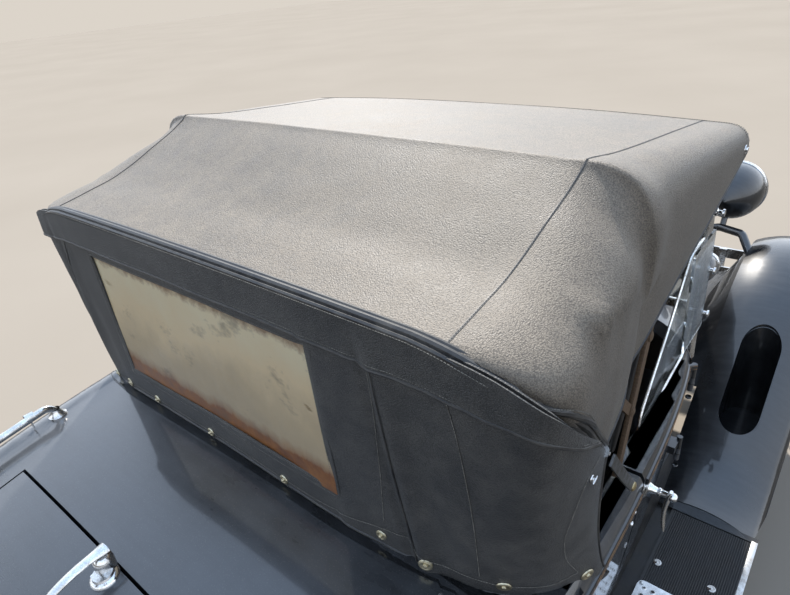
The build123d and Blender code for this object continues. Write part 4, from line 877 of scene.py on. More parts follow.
# %% Rear curtain
# Columns: x, station and z of the upper edge, then of the lower edge
CURTAIN_RIGHT = [
    (-0.643, 1.930, 1.330, -0.659, 1.892, 1.020),
    (-0.652, 1.985, 1.386, -0.658, 1.935, 1.050),
    (-0.657, 2.040, 1.445, -0.645, 1.980, 1.082),
    (-0.657, 2.100, 1.505, -0.611, 2.036, 1.088),
    (-0.642, 2.146, 1.560, -0.563, 2.078, 1.097),
    (-0.585, 2.156, 1.586, -0.519, 2.104, 1.106),
    (-0.512, 2.158, 1.596, -0.472, 2.118, 1.115),
    (-0.390, 2.158, 1.598, -0.424, 2.130, 1.123),
    (WINDOW_RIGHT, 2.158, 1.600, WINDOW_RIGHT, 2.148, 1.138),
    (0.000, 2.158, 1.600, 0.000, 2.150, 1.144),
    (WINDOW_LEFT, 2.158, 1.596, WINDOW_LEFT, 2.148, 1.132),
    (0.520, 2.158, 1.594, 0.500, 2.142, 1.123),
    (0.590, 2.156, 1.586, 0.574, 2.132, 1.100),
    (0.642, 2.146, 1.560, 0.622, 2.098, 1.088),
    (0.657, 2.100, 1.505, 0.645, 2.040, 1.082),
    (0.657, 2.040, 1.445, 0.654, 1.990, 1.075),
    (0.652, 1.985, 1.386, 0.659, 1.940, 1.048),
    (0.643, 1.930, 1.330, 0.659, 1.892, 1.020),
]
CURTAIN_KEYS = [(float(i), *row) for i, row in enumerate(CURTAIN_RIGHT)]
LAST = len(CURTAIN_RIGHT) - 1
CURTAIN_FOOT, CURTAIN_TOP = 1.140, 1.600
CURTAIN_CELL = 0.011
CABIN_MIDDLE = 1.35
BACK_STARTS = 2.1
DART_TOP, DART_LEAN = -0.390, 0.040
PUCKER_TOP, PUCKER_LEAN = 0.560, 0.030
WINDOW_SHARE_LOW = (WINDOW_LOW - CURTAIN_FOOT) / (CURTAIN_TOP - CURTAIN_FOOT)
WINDOW_SHARE_HIGH = (WINDOW_HIGH - CURTAIN_FOOT) / (CURTAIN_TOP - CURTAIN_FOOT)


def curtain_rows():
    """Evenly dense pairs of upper and lower points, with the table's own pairs kept."""
    rows = []
    for i in range(LAST):
        low, high = CURTAIN_KEYS[i], CURTAIN_KEYS[i + 1]
        width = max(math.dist(low[1:4], high[1:4]), math.dist(low[4:7], high[4:7]))
        steps = max(2, round(width / CURTAIN_CELL))
        for j in range(steps):
            rows.append((i + j / steps, between(CURTAIN_KEYS, i + j / steps)))
    rows.append((float(LAST), between(CURTAIN_KEYS, LAST)))
    return rows


def pleat(distance, width):
    """A pleat rises slowly on one side and drops sharply on the other."""
    t = distance / width
    return math.exp(-t * t) * (1.0 if t < 0 else math.exp(-3.5 * t))


def curtain_point(key, values, share):
    top, foot = spot(*values[:3]), spot(*values[3:])
    place = foot.lerp(top, share)
    edge = min(key, LAST - key)
    if edge < 3:
        hollow = 0.040 * math.sin(math.pi * min(share * 1.02, 1.0)) ** 0.8
        place.y += hollow * (1 - edge / 3) ** 1.5
    centre = spot(0.05, CABIN_MIDDLE, place.z)
    out = (place - centre).normalized()
    belly = math.sin(math.pi * share)
    move = 0.0
    on_window = WINDOW_RIGHT < place.x < WINDOW_LEFT and place.y > FRONT_AXLE_Y + BACK_STARTS
    if on_window:
        inside = min(place.x - WINDOW_RIGHT, WINDOW_LEFT - place.x)
        move += 0.0035 * belly * min(inside / 0.15, 1.0)
        move += 0.0022 * noise.noise(Vector((place.x * 5, 0.3, place.z * 7)))
    else:
        move += 0.009 * belly * fall(key - 5.5, 2.6) + 0.006 * belly * fall(key - 13.0, 2.0)
        move += 0.005 * noise.noise(Vector((place.x * 6, place.y * 6, place.z * 4.5 + 7)))
        move += 0.0018 * noise.noise(Vector((place.x * 19, place.y * 19, place.z * 13)))
    dart = place.x - (DART_TOP - DART_LEAN * (1 - share))
    if place.x < 0:
        move += 0.013 * pleat(dart, 0.030) * min(1, (1 - share) * 6) * (0.5 + 0.5 * (1 - share))
        move -= 0.006 * fall(dart - 0.016, 0.010) * min(1, (1 - share) * 6)
    else:
        deep = place.x - (PUCKER_TOP + PUCKER_LEAN * (1 - share))
        move -= 0.012 * fall(deep, 0.014) * belly
        move += 0.006 * fall(deep + 0.030, 0.018) * belly
    return place + out * move


def make_curtain_cloth():
    rows = curtain_rows()
    low_rows, mid_rows, high_rows = 9, 26, 9
    shares = [WINDOW_SHARE_LOW * i / low_rows for i in range(low_rows)]
    shares += [WINDOW_SHARE_LOW + (WINDOW_SHARE_HIGH - WINDOW_SHARE_LOW) * i / mid_rows
               for i in range(mid_rows)]
    shares += [WINDOW_SHARE_HIGH + (1 - WINDOW_SHARE_HIGH) * i / high_rows
               for i in range(high_rows + 1)]
    bm = bmesh.new()
    bmesh.ops.create_grid(bm, x_segments=len(rows) - 1, y_segments=len(shares) - 1, size=1.0)
    bm.verts.ensure_lookup_table()
    columns = len(rows)
    for index, vert in enumerate(bm.verts):
        line, column = divmod(index, columns)
        key, values = rows[column]
        vert.co = curtain_point(key, values, shares[line])
    holes = []
    for face in bm.faces:
        indices = [v.index for v in face.verts]
        keys = [rows[i % columns][0] for i in indices]
        lines = [i // columns for i in indices]
        if min(keys) >= 8 and max(keys) <= 10 and min(lines) >= low_rows \
                and max(lines) <= low_rows + mid_rows:
            holes.append(face)
    bmesh.ops.delete(bm, geom=holes, context="FACES")
    bmesh.ops.recalc_face_normals(bm, faces=bm.faces)
    rear = sum(f.normal.y * f.calc_area() for f in bm.faces)
    if rear < 0:
        bmesh.ops.reverse_faces(bm, faces=bm.faces)
    bmesh.ops.solidify(bm, geom=bm.faces[:], thickness=0.0025)
    return add_piece("curtain", bm, curtain_cloth, smooth=55)


curtain = make_curtain_cloth()
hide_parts("rear_curtain")


def curtain_at(key, share, lift=0.0):
    """A point on the curtain and its outward direction."""
    step = 0.02
    after_key, before_key = min(key + step, LAST), max(key - step, 0)
    values = between(CURTAIN_KEYS, key)
    place = curtain_point(key, values, share)
    beside = curtain_point(after_key, between(CURTAIN_KEYS, after_key), share)
    before = curtain_point(before_key, between(CURTAIN_KEYS, before_key), share)
    above = curtain_point(key, values, min(share + step, 1.0))
    below = curtain_point(key, values, max(share - step, 0.0))
    out = (beside - before).cross(above - below).normalized()
    if out.dot(place - spot(0.0, CABIN_MIDDLE, place.z)) < 0:
        out = -out
    return place + out * lift, out


print("curtain", [round(v, 3) for v in curtain.dimensions])

# %% [markdown]
# The window is a sheet of celluloid behind the cloth, buckled by the sun. A strip of the same
# cloth frames it, sewn down with two rows of thread.

# %% Rear window
WINDOW_LAP = 0.01
WINDOW_STATION = 2.1515


def make_window():
    bm = bmesh.new()
    bmesh.ops.create_grid(bm, x_segments=60, y_segments=28, size=1.0)
    width = WINDOW_LEFT - WINDOW_RIGHT + 2 * WINDOW_LAP
    height = WINDOW_HIGH - WINDOW_LOW + 2 * WINDOW_LAP
    for vert in bm.verts:
        x = WINDOW_RIGHT - WINDOW_LAP + width * (vert.co.x + 1) / 2
        z = WINDOW_LOW - WINDOW_LAP + height * (vert.co.y + 1) / 2
        buckle = 0.0022 * noise.noise(Vector((x * 6, 2.0, z * 6)))
        crease = 0.0026 * fall((z - 1.262) - 0.22 * (x + 0.10), 0.006) * fall(x + 0.10, 0.16)
        vert.co = spot(x, WINDOW_STATION + buckle + crease + 0.0035 * (z - 1.38), z)
    bmesh.ops.solidify(bm, geom=bm.faces[:], thickness=0.001)
    return add_piece("celluloid_sheet", bm, celluloid, smooth=60)


window = make_window()
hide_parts("rear_window")


def window_frame():
    """A flat cloth strip around the window with two rows of stitches."""
    corners = [(8, WINDOW_SHARE_LOW), (10, WINDOW_SHARE_LOW), (10, WINDOW_SHARE_HIGH),
               (8, WINDOW_SHARE_HIGH)]
    path, ups = [], []
    for (key_a, share_a), (key_b, share_b) in zip(corners, corners[1:] + corners[:1]):
        for i in range(24):
            t = i / 24
            key, share = key_a + (key_b - key_a) * t, share_a + (share_b - share_a) * t
            place, out = curtain_at(key, share, 0.0)
            path.append(place)
            ups.append(out)
    return path, ups


def offset_path(path, distance, centre):
    """The same loop moved away from its centre within the cloth."""
    moved = []
    for place in path:
        sign = Vector((1 if place.x > centre.x else -1, 0, 1 if place.z > centre.z else -1))
        near_x = min(abs(place.x - WINDOW_RIGHT), abs(place.x - WINDOW_LEFT)) < 0.001
        near_z = min(abs(place.z - WINDOW_LOW), abs(place.z - WINDOW_HIGH)) < 0.014
        shift = Vector((sign.x if near_x else 0, 0, sign.z if near_z else 0))
        moved.append(place + shift * distance)
    return moved


frame_path, frame_ups = window_frame()
middle = Vector(((WINDOW_RIGHT + WINDOW_LEFT) / 2, 0, (WINDOW_LOW + WINDOW_HIGH) / 2))
strip = bmesh.new()
sweep(strip, offset_path(frame_path, 0.009, middle), flat_outline(0.021, 0.0016),
      frame_ups, closed=True)
add_piece("window_strip", strip, curtain_cloth)
sewing = bmesh.new()
for distance in (0.003, 0.0165):
    row = offset_path(frame_path, distance, middle)
    row.append(row[0])
    lay_stitches(sewing, row, frame_ups + frame_ups[:1], pitch=0.0042, length=0.0031, lift=0.0020)

# %% [markdown]
# A bead covers the raw edge where roof and curtain meet: three ridges side by side with thread
# between them. It runs from one tip, over the back, to the other tip, on the edge of the roof
# sheet itself, and each end is closed with a nickel tip.

# %% Bead along the rear edge
def rear_edge():
    path, ups = [], []
    stations = [TIP + (REAR_BOW - TIP) * i / 26 for i in range(26)]
    stops = [(s, 1.0) for s in stations]
    stops += [(REAR_BOW, 1 - 2 * i / 90) for i in range(91)]
    stops += [(s, -1.0) for s in reversed(stations)]
    for station, share in stops:
        share = max(min(share, 0.992), -0.992)
        place, up = roof_point(station, share)
        path.append(place)
        ups.append(up)
    for turn in range(14):
        smooth_path, smooth_ups = [], []
        for i, place in enumerate(path):
            near = range(max(i - 1, 0), min(i + 2, len(path)))
            corner = abs(place.x) > 0.48 and 4 < i < len(path) - 5
            if turn < 3 or corner:
                smooth_path.append(sum((path[j] for j in near), Vector()) / len(near))
                smooth_ups.append(sum((ups[j] for j in near), Vector()).normalized())
            else:
                smooth_path.append(place)
                smooth_ups.append(ups[i])
        path, ups = smooth_path, smooth_ups
    lifted = []
    for place, up in zip(path, ups):
        corner = fall(abs(place.x) - 0.615, 0.045)
        outward = Vector((math.copysign(0.5, place.x), 0.6, 0.6)).normalized()
        lifted.append(place + outward * 0.004 * corner)
    return lifted, ups


edge_path, edge_ups = rear_edge()
BEAD_RIDGES = [(-0.0085, 0.0045, 0.0005), (0.0, 0.0055, 0.0025), (0.0085, 0.0045, 0.0000)]
BEAD_OUT = 0.004


def beside_edge(across_by, lift):
    """The bead's own line, moved across the bead and off the cloth."""
    moved = []
    for i, (place, up) in enumerate(zip(edge_path, edge_ups)):
        ahead = edge_path[min(i + 1, len(edge_path) - 1)] - edge_path[max(i - 1, 0)]
        side = ahead.normalized().cross(up).normalized()
        moved.append(place + side * (across_by + BEAD_OUT) + up * lift)
    return moved


bead = bmesh.new()
for across_by, radius, lift in BEAD_RIDGES:
    sweep(bead, beside_edge(across_by, lift), round_outline(radius, 8), edge_ups)
add_piece("rear_bead", bead, binding)
for across_by in (-0.0042, 0.0044, 0.0155):
    lay_stitches(sewing, beside_edge(across_by, 0.0030), edge_ups, pitch=0.0046, length=0.0032)

tips = bmesh.new()
for end, before in ((edge_path[0], edge_path[2]), (edge_path[-1], edge_path[-3])):
    direction = (end - before).normalized()
    base = end - direction * 0.012
    places = [base + direction * d for d in (0, 0.004, 0.014, 0.022, 0.027)]
    sweep(tips, places, round_outline(0.0085, 12), taper=[1.25, 1.3, 1.0, 0.6, 0.12])
    screw = end - direction * 0.002 + Vector((math.copysign(0.0095, end.x), 0, 0))
    turn_profile(tips, [(0, 0.0), (0, 0.0032), (0.0014, 0.0026), (0.002, 0.0)], screw,
                 (math.copysign(1, end.x), 0, 0), 10)
add_piece("bead_tips", tips, plated)
print("bead", round(run_length(edge_path), 3), "m long")

# %% [markdown]
# Below the bead hangs a valance, a doubled band of curtain cloth with a piped lower seam. It
# narrows towards the quarters and disappears below the bead there. Its lift off the curtain
# grows downwards, so it throws the thin shadow seen in the photograph.

# %% Valance
def valance_drop(key):
    """Share of the curtain's height that the valance covers at a place along it."""
    edge = min(key, LAST - key)
    full = 0.133
    return full * min(max((edge - 1.9) / 3.2, 0.0), 1.0) ** 0.7


def make_valance():
    count = 170
    first = 1.95
    keys = [first + (LAST - 2 * first) * i / count for i in range(count + 1)]
    bm = bmesh.new()
    bmesh.ops.create_grid(bm, x_segments=count, y_segments=8, size=1.0)
    bm.verts.ensure_lookup_table()
    low_path, low_ups = [], []
    for index, vert in enumerate(bm.verts):
        line, column = divmod(index, count + 1)
        key = keys[column]
        t = line / 8
        drop = valance_drop(key) * (1 - t)
        ripple = 0.0016 * noise.noise(Vector((key * 2.3, t * 2, 5.0)))
        place, out = curtain_at(key, 1.0 - drop, 0.0045 + 0.0025 * (1 - t) + ripple * (1 - t))
        vert.co = place
        if line == 0:
            low_path.append(place.copy())
            low_ups.append(out)
    bmesh.ops.recalc_face_normals(bm, faces=bm.faces)
    bmesh.ops.solidify(bm, geom=bm.faces[:], thickness=0.002)
    add_piece("valance", bm, curtain_cloth, smooth=50)
    return low_path, low_ups


valance_path, valance_ups = make_valance()
piping = bmesh.new()
sweep(piping, [p + u * 0.0006 for p, u in zip(valance_path, valance_ups)],
      round_outline(0.0030, 8), valance_ups)
add_piece("valance_piping", piping, binding)
lay_stitches(sewing, [p + Vector((0, 0, 0.006)) + u * 0.0012
                      for p, u in zip(valance_path, valance_ups)], valance_ups, pitch=0.0045)

# %% [markdown]
# The curtain's own seams: a pleated dart and its stitched tuck, the seam between back and
# quarter, a hem along the deck with a flap beside the dart, and the hollow front edge of each
# quarter. Every one is a path on the curtain, given as (place along the table, share of height).

# %% Seams of the curtain
def surface_path(surface, stops, lift, fine):
    """A smooth path through stops on a surface, with the surface's direction at each point."""
    keys = [(float(i), *stop) for i, stop in enumerate(stops)]
    points = [surface(*between(keys, i / fine), lift) for i in range((len(stops) - 1) * fine + 1)]
    return [place for place, out in points], [out for place, out in points]


def curtain_path(stops, lift=0.0008, fine=14):
    return surface_path(curtain_at, stops, lift, fine)


seam_strips = bmesh.new()
QUARTER_SEAM = [(6.4, 0.985), (5.9, 0.84), (5.45, 0.55), (5.2, 0.35), (4.95, 0.10)]
for stops in (QUARTER_SEAM, [(LAST - k, s) for k, s in QUARTER_SEAM]):
    path, ups = curtain_path(stops, 0.0002)
    sweep(seam_strips, path, flat_outline(0.0022, 0.0005), ups)
    lay_stitches(sewing, [p + u * 0.0007 for p, u in zip(path, ups)], ups)
tuck, tuck_ups = curtain_path([(7.08, 0.83), (7.22, 0.5), (7.42, 0.14)])
lay_stitches(sewing, tuck, tuck_ups)
DART = [(7.0, 0.86), (7.0, 0.5), (7.0, 0.02)]
dart_path, dart_ups = curtain_path(DART, 0.0015)
sweep(seam_strips, dart_path, round_outline(0.0022, 6), dart_ups,
      taper=[0.4 + 0.6 * i / (len(dart_path) - 1) for i in range(len(dart_path))])

HEM_STOPS = [(LAST - 1.55, 0.13), (LAST - 2.2, 0.06), (LAST - 4.0, 0.035), (10.0, 0.032),
             (9.0, 0.030), (8.2, 0.035), (7.6, 0.085), (7.15, 0.11), (6.8, 0.075), (6.0, 0.07),
             (5.0, 0.072), (4.0, 0.08), (3.0, 0.09), (2.2, 0.12)]
hem_path, hem_ups = curtain_path(HEM_STOPS, 0.0012)
lay_stitches(sewing, hem_path, hem_ups)
FRONT_STITCH = [(2.20, 0.12), (2.70, 0.30), (2.75, 0.50), (2.15, 0.78), (1.20, 0.95)]
for stops in (FRONT_STITCH, [(LAST - k, s) for k, s in FRONT_STITCH]):
    path, ups = curtain_path(stops, 0.0012)
    lay_stitches(sewing, path, ups)
FRONT_EDGE = [(0.0, 1.0), (0.0, 0.75), (0.0, 0.5), (0.0, 0.25), (0.0, 0.0)]
BOTTOM_EDGE = [(float(i), 0.0) for i in range(0, LAST + 1)]
for stops in (FRONT_EDGE, [(LAST - k, s) for k, s in FRONT_EDGE], BOTTOM_EDGE):
    path, ups = curtain_path(stops, 0.0, 10)
    sweep(seam_strips, path, round_outline(0.0027, 8), ups)
add_piece("curtain_bindings", seam_strips, binding)

# %% [markdown]
# The roof has one stitched seam on each side, between its flat panel and its side panel. It is
# a narrow lapped strip. The hems along the header and above the doors are turned under and sewn
# twice. All thread is one piece, so the sewing can be recoloured at once.

# %% Seams of the roof
def roof_inside(station, share, lift):
    """A point on the roof cloth, kept just inside its free edges."""
    return roof_point(min(station, REAR_BOW), max(min(share, 0.995), -0.995), lift)


def roof_path(stops, lift=0.0, fine=16):
    return surface_path(roof_inside, stops, lift, fine)


roof_strips = bmesh.new()
for side in (1, -1):
    path, ups = [], []
    for i in range(94):
        station = 1.212 + 0.010 * i
        place, up = roof_point(station, side * seam_share(station), 0.0002)
        path.append(place)
        ups.append(up)
    sweep(roof_strips, path, flat_outline(0.0036, 0.0007), ups)
    lay_stitches(sewing, [p + u * 0.0007 for p, u in zip(path, ups)], ups, pitch=0.0048,
                 radius=0.0004)
    hem = [(s, side * 0.995) for s in (1.215, 1.30, 1.45, 1.60, 1.75, 1.85, 1.915)]
    path, ups = roof_path(hem)
    sweep(roof_strips, path, round_outline(0.0026, 8), ups)
    for inward in (0.010, 0.022):
        rows = []
        for s, _ in hem:
            rows.append((s, side * (1 - inward / run_length(roof_section(s)))))
        path, ups = roof_path(rows, 0.0006)
        lay_stitches(sewing, path, ups, pitch=0.0048)
for station in (1.2205, 1.2330):
    path, ups = roof_path([(station, 0.93), (station, 0.4), (station, 0.0), (station, -0.4),
                           (station, -0.93)], 0.0008, 24)
    lay_stitches(sewing, path, ups, pitch=0.0048)
add_piece("roof_seams", roof_strips, binding)
sewing_piece = add_piece("sewing", sewing, thread, smooth=80)
print("stitches", len(sewing_piece.data.polygons), "faces")

# %% [markdown]
# Small fittings have to touch the panel that carries them. A ray shot at a CAD part finds the
# place and the direction of its surface, so a moulding or a screw sits on the real curve.
# The curtain is searched over its own two directions instead, because it is a made surface.

# %% Finding surfaces
SKINS = {}


def skin_of(node):
    if node not in SKINS:
        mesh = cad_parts[node].data
        SKINS[node] = BVHTree.FromPolygons([v.co for v in mesh.vertices],
                                           [tuple(p.vertices) for p in mesh.polygons])
    return SKINS[node]


def meet(node, origin, direction):
    """Where a ray first meets a CAD part, and the surface's direction there."""
    place, normal = skin_of(node).ray_cast(Vector(origin), Vector(direction).normalized())[:2]
    if place is None:
        return None, None
    if normal.dot(Vector(direction)) > 0:
        normal = -normal
    return place, normal


def meet_from_above(node, x, station, height=1.5):
    return meet(node, spot(x, station, height), -UP)


def meet_from_side(node, side, station, z, start=0.95):
    return meet(node, spot(side * start, station, z), (-side, 0, 0))


CURTAIN_GRID = []
for i in range(LAST * 10 + 1):
    values = between(CURTAIN_KEYS, i / 10)
    for j in range(41):
        CURTAIN_GRID.append((i / 10, j / 40, curtain_point(i / 10, values, j / 40)))


def nearest_on_curtain(target, lift=0.0):
    nearest = min(CURTAIN_GRID, key=lambda row: (row[2] - target).length)
    return curtain_at(*nearest[:2], lift)


def add_bolt(bm, centre, normal, radius, height=None):
    """A domed round head on a washer."""
    height = height or radius * 0.7
    turn_profile(bm, [(0, radius * 1.5), (height * 0.22, radius * 1.45), (height * 0.25, radius),
                      (height * 0.7, radius * 0.86), (height, radius * 0.45), (height * 1.02, 0)],
                 centre, normal, 12)


# %% [markdown]
# The curtain is held to the deck by turned fasteners of pale brass. Each is a ring pressed into
# the cloth with a stud standing in its middle: small ones along the back, larger ones around the
# quarters. One stud on the body is bare, because its ring has come off.

# %% Curtain fasteners
SMALL_RING = [(0.0, 0.0105), (0.0020, 0.0098), (0.0028, 0.0076), (0.0016, 0.0050),
              (0.0016, 0.0036), (0.0052, 0.0032), (0.0062, 0.0020), (0.0064, 0.0)]
LARGE_RING = [(0.0, 0.0124), (0.0020, 0.0118), (0.0030, 0.0094), (0.0018, 0.0058),
              (0.0018, 0.0042), (0.0044, 0.0038), (0.0052, 0.0024), (0.0054, 0.0)]
SMALL_PLACES = [(0.33, 2.150, 1.150), (0.115, 2.150, 1.156), (-0.11, 2.150, 1.160),
                (-0.35, 2.150, 1.152)]
LARGE_PLACES = [(-0.440, 2.126, 1.150), (-0.553, 2.076, 1.132), (-0.648, 1.974, 1.105),
                (0.470, 2.142, 1.145), (0.560, 2.120, 1.135), (0.648, 1.974, 1.105)]
fasteners = bmesh.new()
for places, profile in ((SMALL_PLACES, SMALL_RING), (LARGE_PLACES, LARGE_RING)):
    for place in places:
        at, out = nearest_on_curtain(spot(*place), 0.0006)
        turn_profile(fasteners, profile, at, out, 20)
pale_brass = make_metal("pale_brass", (0.66, 0.60, 0.44), (0.34, 0.30, 0.20), 0.38, 0.62, 160)
add_piece("curtain_fasteners", fasteners, pale_brass, smooth=30)

studs = bmesh.new()
BARE_STUD = (-0.487, 2.158)
at, up = meet_from_above("body_tub", *BARE_STUD)
turn_profile(studs, [(0, 0.0062), (0.0012, 0.0060), (0.0014, 0.0028), (0.0060, 0.0026),
                     (0.0072, 0.0042), (0.0086, 0.0036), (0.0092, 0.0)], at, up, 14)
for side in (-1, 1):
    at, out = nearest_on_curtain(spot(side * 0.655, 2.022, 1.362), 0.0008)
    along = Vector((0, 0.35, 0.94))
    across = along.cross(out).normalized()
    turn_profile(studs, [(0, 0.0060), (0.0012, 0.0055), (0.0016, 0.0024), (0.0040, 0.0022)],
                 at, out, 14)
    sweep(studs, [at + out * 0.0045 + across * d for d in (-0.007, -0.003, 0.003, 0.007)],
          round_outline(0.0020, 8), [out] * 4, taper=[0.5, 1.0, 1.0, 0.5])
    corner, corner_up = roof_point(1.250, side * 0.950)
    turn_profile(studs, [(0, 0.0100), (0.0016, 0.0094), (0.0022, 0.0040), (0.0034, 0.0038),
                         (0.0040, 0.0060), (0.0052, 0.0050), (0.0056, 0.0)],
                 corner, corner_up, 16)
add_piece("turn_fasteners", studs, plated, smooth=30)
print("fasteners", len(SMALL_PLACES) + len(LARGE_PLACES))

# %% [markdown]
# A raised moulding runs along the body at the belt, with two worn tan lines painted on it. The
# stretch on each door is a piece of its own, so that it opens with the door.

# %% Belt moulding
def make_pinstripe():
    finish = Finish("tan_line", (0.30, 0.17, 0.08), 0.5)
    wear = finish.noise(34.0, 5.0, 0.65)
    finish.colour(finish.ramp(wear, [(0.36, (0.06, 0.045, 0.035)), (0.48, (0.30, 0.165, 0.075)),
                                     (0.70, (0.42, 0.25, 0.12))]))
    finish.rough(finish.ramp(wear, [(0.3, 0.35), (0.7, 0.6)]))
    finish.bump(wear, 0.3, 0.0005)
    return finish.material


tan_line = make_pinstripe()
# Columns: station, height of the moulding
BELT = [(0.935, 0.992), (1.228, 1.062), (1.722, 1.068), (2.150, 1.044), (2.600, 0.996),
        (2.960, 0.862), (3.080, 0.742)]


def belt_run(node, side, first, last, count):
    path, ups = [], []
    for i in range(count + 1):
        station = first + (last - first) * i / count
        z = between(BELT, station)[0]
        at, out = meet_from_side(node, side, station, z)
        if at is not None:
            path.append(at)
            ups.append(out)
    return path, ups


HALF_ROUND = [(-0.009, -0.001), (-0.008, 0.0035), (-0.004, 0.0058), (0.004, 0.0058),
              (0.008, 0.0035), (0.009, -0.001)]
for side, word, door_body in ((1, "left", "door_l"), (-1, "right", "door_r")):
    runs = [("body_tub", "root", 0.935, 1.232, 18, "front"),
            (f"door_{word}", door_body, 1.252, 1.714, 26, "door"),
            ("body_tub", "root", 1.736, 3.070, 70, "rear")]
    for node, body, first, last, count, part in runs:
        path, ups = belt_run(node, side, first, last, count)
        strip = bmesh.new()
        sweep(strip, path, HALF_ROUND, ups)
        add_piece(f"belt_{part}_{word}", strip, enamel, body=body)
        line = bmesh.new()
        for shift in (-0.0045, 0.0045):
            sweep(line, [p + u * 0.0052 + Vector((0, 0, shift)) for p, u in zip(path, ups)],
                  flat_outline(0.0030, 0.0010), ups)
        add_piece(f"belt_line_{part}_{word}", line, tan_line, body=body)
    print("belt", word, "ends at", [round(v, 3) for v in path[-1]])

# %% [markdown]
# The lid's handle is a long tapered lever on a round lock, polished by hands and pitted where
# they don't reach. Its blade is a swept oval, thinner towards the tip and slightly arched.

# %% Handle of the rumble lid
LOCK_STATION = 2.462
LEVER_LENGTH = 0.112
LEVER_Z = 1.1655
lid_handle = bmesh.new()
base_at, base_up = meet_from_above("rumble_lid", 0, LOCK_STATION)
turn_profile(lid_handle, [(-0.002, 0.0255), (0.003, 0.0252), (0.0065, 0.0225), (0.0080, 0.0190),
                          (0.0125, 0.0175), (0.0135, 0.0)], base_at, base_up, 32)
lock_at = spot(0.010, 2.452, 1.117)
turn_profile(lid_handle, [(0.0, 0.0150), (0.010, 0.0155), (0.012, 0.0178), (0.030, 0.0180),
                          (0.038, 0.0165), (0.0425, 0.0120), (0.0430, 0.0)], lock_at,
             (0, 0, 1), 32)
blade = []
for i in range(17):
    t = i / 16
    blade.append(spot(0.012 - 0.008 * t, 2.440 + LEVER_LENGTH * t, LEVER_Z
                      + 0.006 * math.sin(math.pi * t) - 0.010 * t))
OVAL = [(0.0105 * math.cos(2 * math.pi * i / 14), 0.0065 * math.sin(2 * math.pi * i / 14))
        for i in range(14)]
sweep(lid_handle, blade, OVAL, [UP] * 17,
      taper=[1.25, 1.2, 1.1, 1.0, 0.95, 0.92, 0.9, 0.9, 0.88, 0.87, 0.86, 0.85, 0.84, 0.82, 0.78,
             0.6, 0.25])
for place in screw_places(base_at, 0.0195, (40, 160, 280)):
    add_bolt(lid_handle, place + base_up * 0.006, base_up, 0.0026)
lid_lever = add_piece("lid_lever", lid_handle, plated, body="rumble_lid")
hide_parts("rumble_handle")

# %% [markdown]
# Door handles are a round escutcheon, a stem with a collar and a tapered drop lever. Behind
# each, on the body, sit the two screws of the striker.

# %% Door handles
HANDLE_S, HANDLE_Z = 1.679, 1.039
for side, word, body in ((1, "left", "door_l"), (-1, "right", "door_r")):
    handle = bmesh.new()
    at, out = meet_from_side(f"door_{word}", side, HANDLE_S, HANDLE_Z)
    axis = Vector((side, 0, 0))
    turn_profile(handle, [(-0.004, 0.0235), (0.002, 0.0235), (0.004, 0.0200), (0.006, 0.0120),
                          (0.014, 0.0082), (0.022, 0.0072), (0.024, 0.0090), (0.028, 0.0090),
                          (0.030, 0.0070), (0.044, 0.0070), (0.048, 0.0096), (0.055, 0.0090),
                          (0.0590, 0.0055), (0.0600, 0.0)], at, axis, 28)
    lever = []
    for i in range(13):
        t = i / 12
        lever.append(at + axis * (0.047 - 0.006 * math.sin(math.pi * t))
                     + Vector((0, 0.006 * t, 0.012 - (0.104 + 0.002) * t)))
    sweep(handle, lever, OVAL, [axis] * 13,
          taper=[0.5, 0.75, 0.8, 0.78, 0.75, 0.72, 0.7, 0.7, 0.68, 0.66, 0.62, 0.55, 0.25])
    handle_piece = add_piece(f"handle_{word}", handle, plated, body=body)
    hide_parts(f"door_handle_{word}")
    striker = bmesh.new()
    for z in (0.985, 1.020):
        place, up = meet_from_side("body_tub", side, 1.738, z)
        if place is not None:
            add_bolt(striker, place, up, 0.0042)
    add_piece(f"striker_{word}", striker, plated)

# %% [markdown]
# Each hinge barrel on the doors gets a cap at both ends. The grab rails beside the lid stand on
# round flanges held by three screws, and a small spring clip is folded round each bar.

# %% Hinges, rail feet and clips
HINGE_X, HINGE_S = 0.624, 1.247
HINGE_HEIGHTS = (0.745, 0.985)
BARREL_HALF = 0.0200
RAIL_FEET = ((0.556, 2.306), (0.530, 2.640))
RAIL_X, RAIL_Z, CLIP_S = 0.5535, 1.1405, 2.352
for side, word in ((1, "left"), (-1, "right")):
    pins = bmesh.new()
    for height in HINGE_HEIGHTS:
        for sign in (-1, 1):
            turn_profile(pins, [(0, 0.0070), (0.0015, 0.0082), (0.0045, 0.0076), (0.0062, 0.0)],
                         spot(side * HINGE_X, HINGE_S, height + sign * BARREL_HALF),
                         (0, 0, sign), 16)
    add_piece(f"hinge_caps_{word}", pins, enamel)
rail_trim = bmesh.new()
for side in (-1, 1):
    for x, station in RAIL_FEET:
        at, up = meet_from_above("body_tub", side * x, station + 0.02, 1.12)
        if at is None:
            continue
        foot = spot(side * x, station, at.z)
        turn_profile(rail_trim, [(-0.004, 0.0215), (0.003, 0.0210), (0.006, 0.0175),
                                 (0.012, 0.0125), (0.020, 0.0112)], foot, up, 24)
        for place in screw_places(foot, 0.0165, (30, 150, 270), 0.004):
            add_bolt(rail_trim, place, up, 0.0024)
    clip = [spot(side * RAIL_X, CLIP_S + 0.010 * i, RAIL_Z) for i in range(3)]
    sweep(rail_trim, clip, round_outline(0.0115, 16), [UP] * 3)
    sweep(rail_trim, [clip[1] + Vector((0, 0, -0.008)), clip[1] + Vector((0, 0, -0.030))],
          flat_outline(0.014, 0.003), [BACK] * 2)
add_piece("rail_fittings", rail_trim, plated)

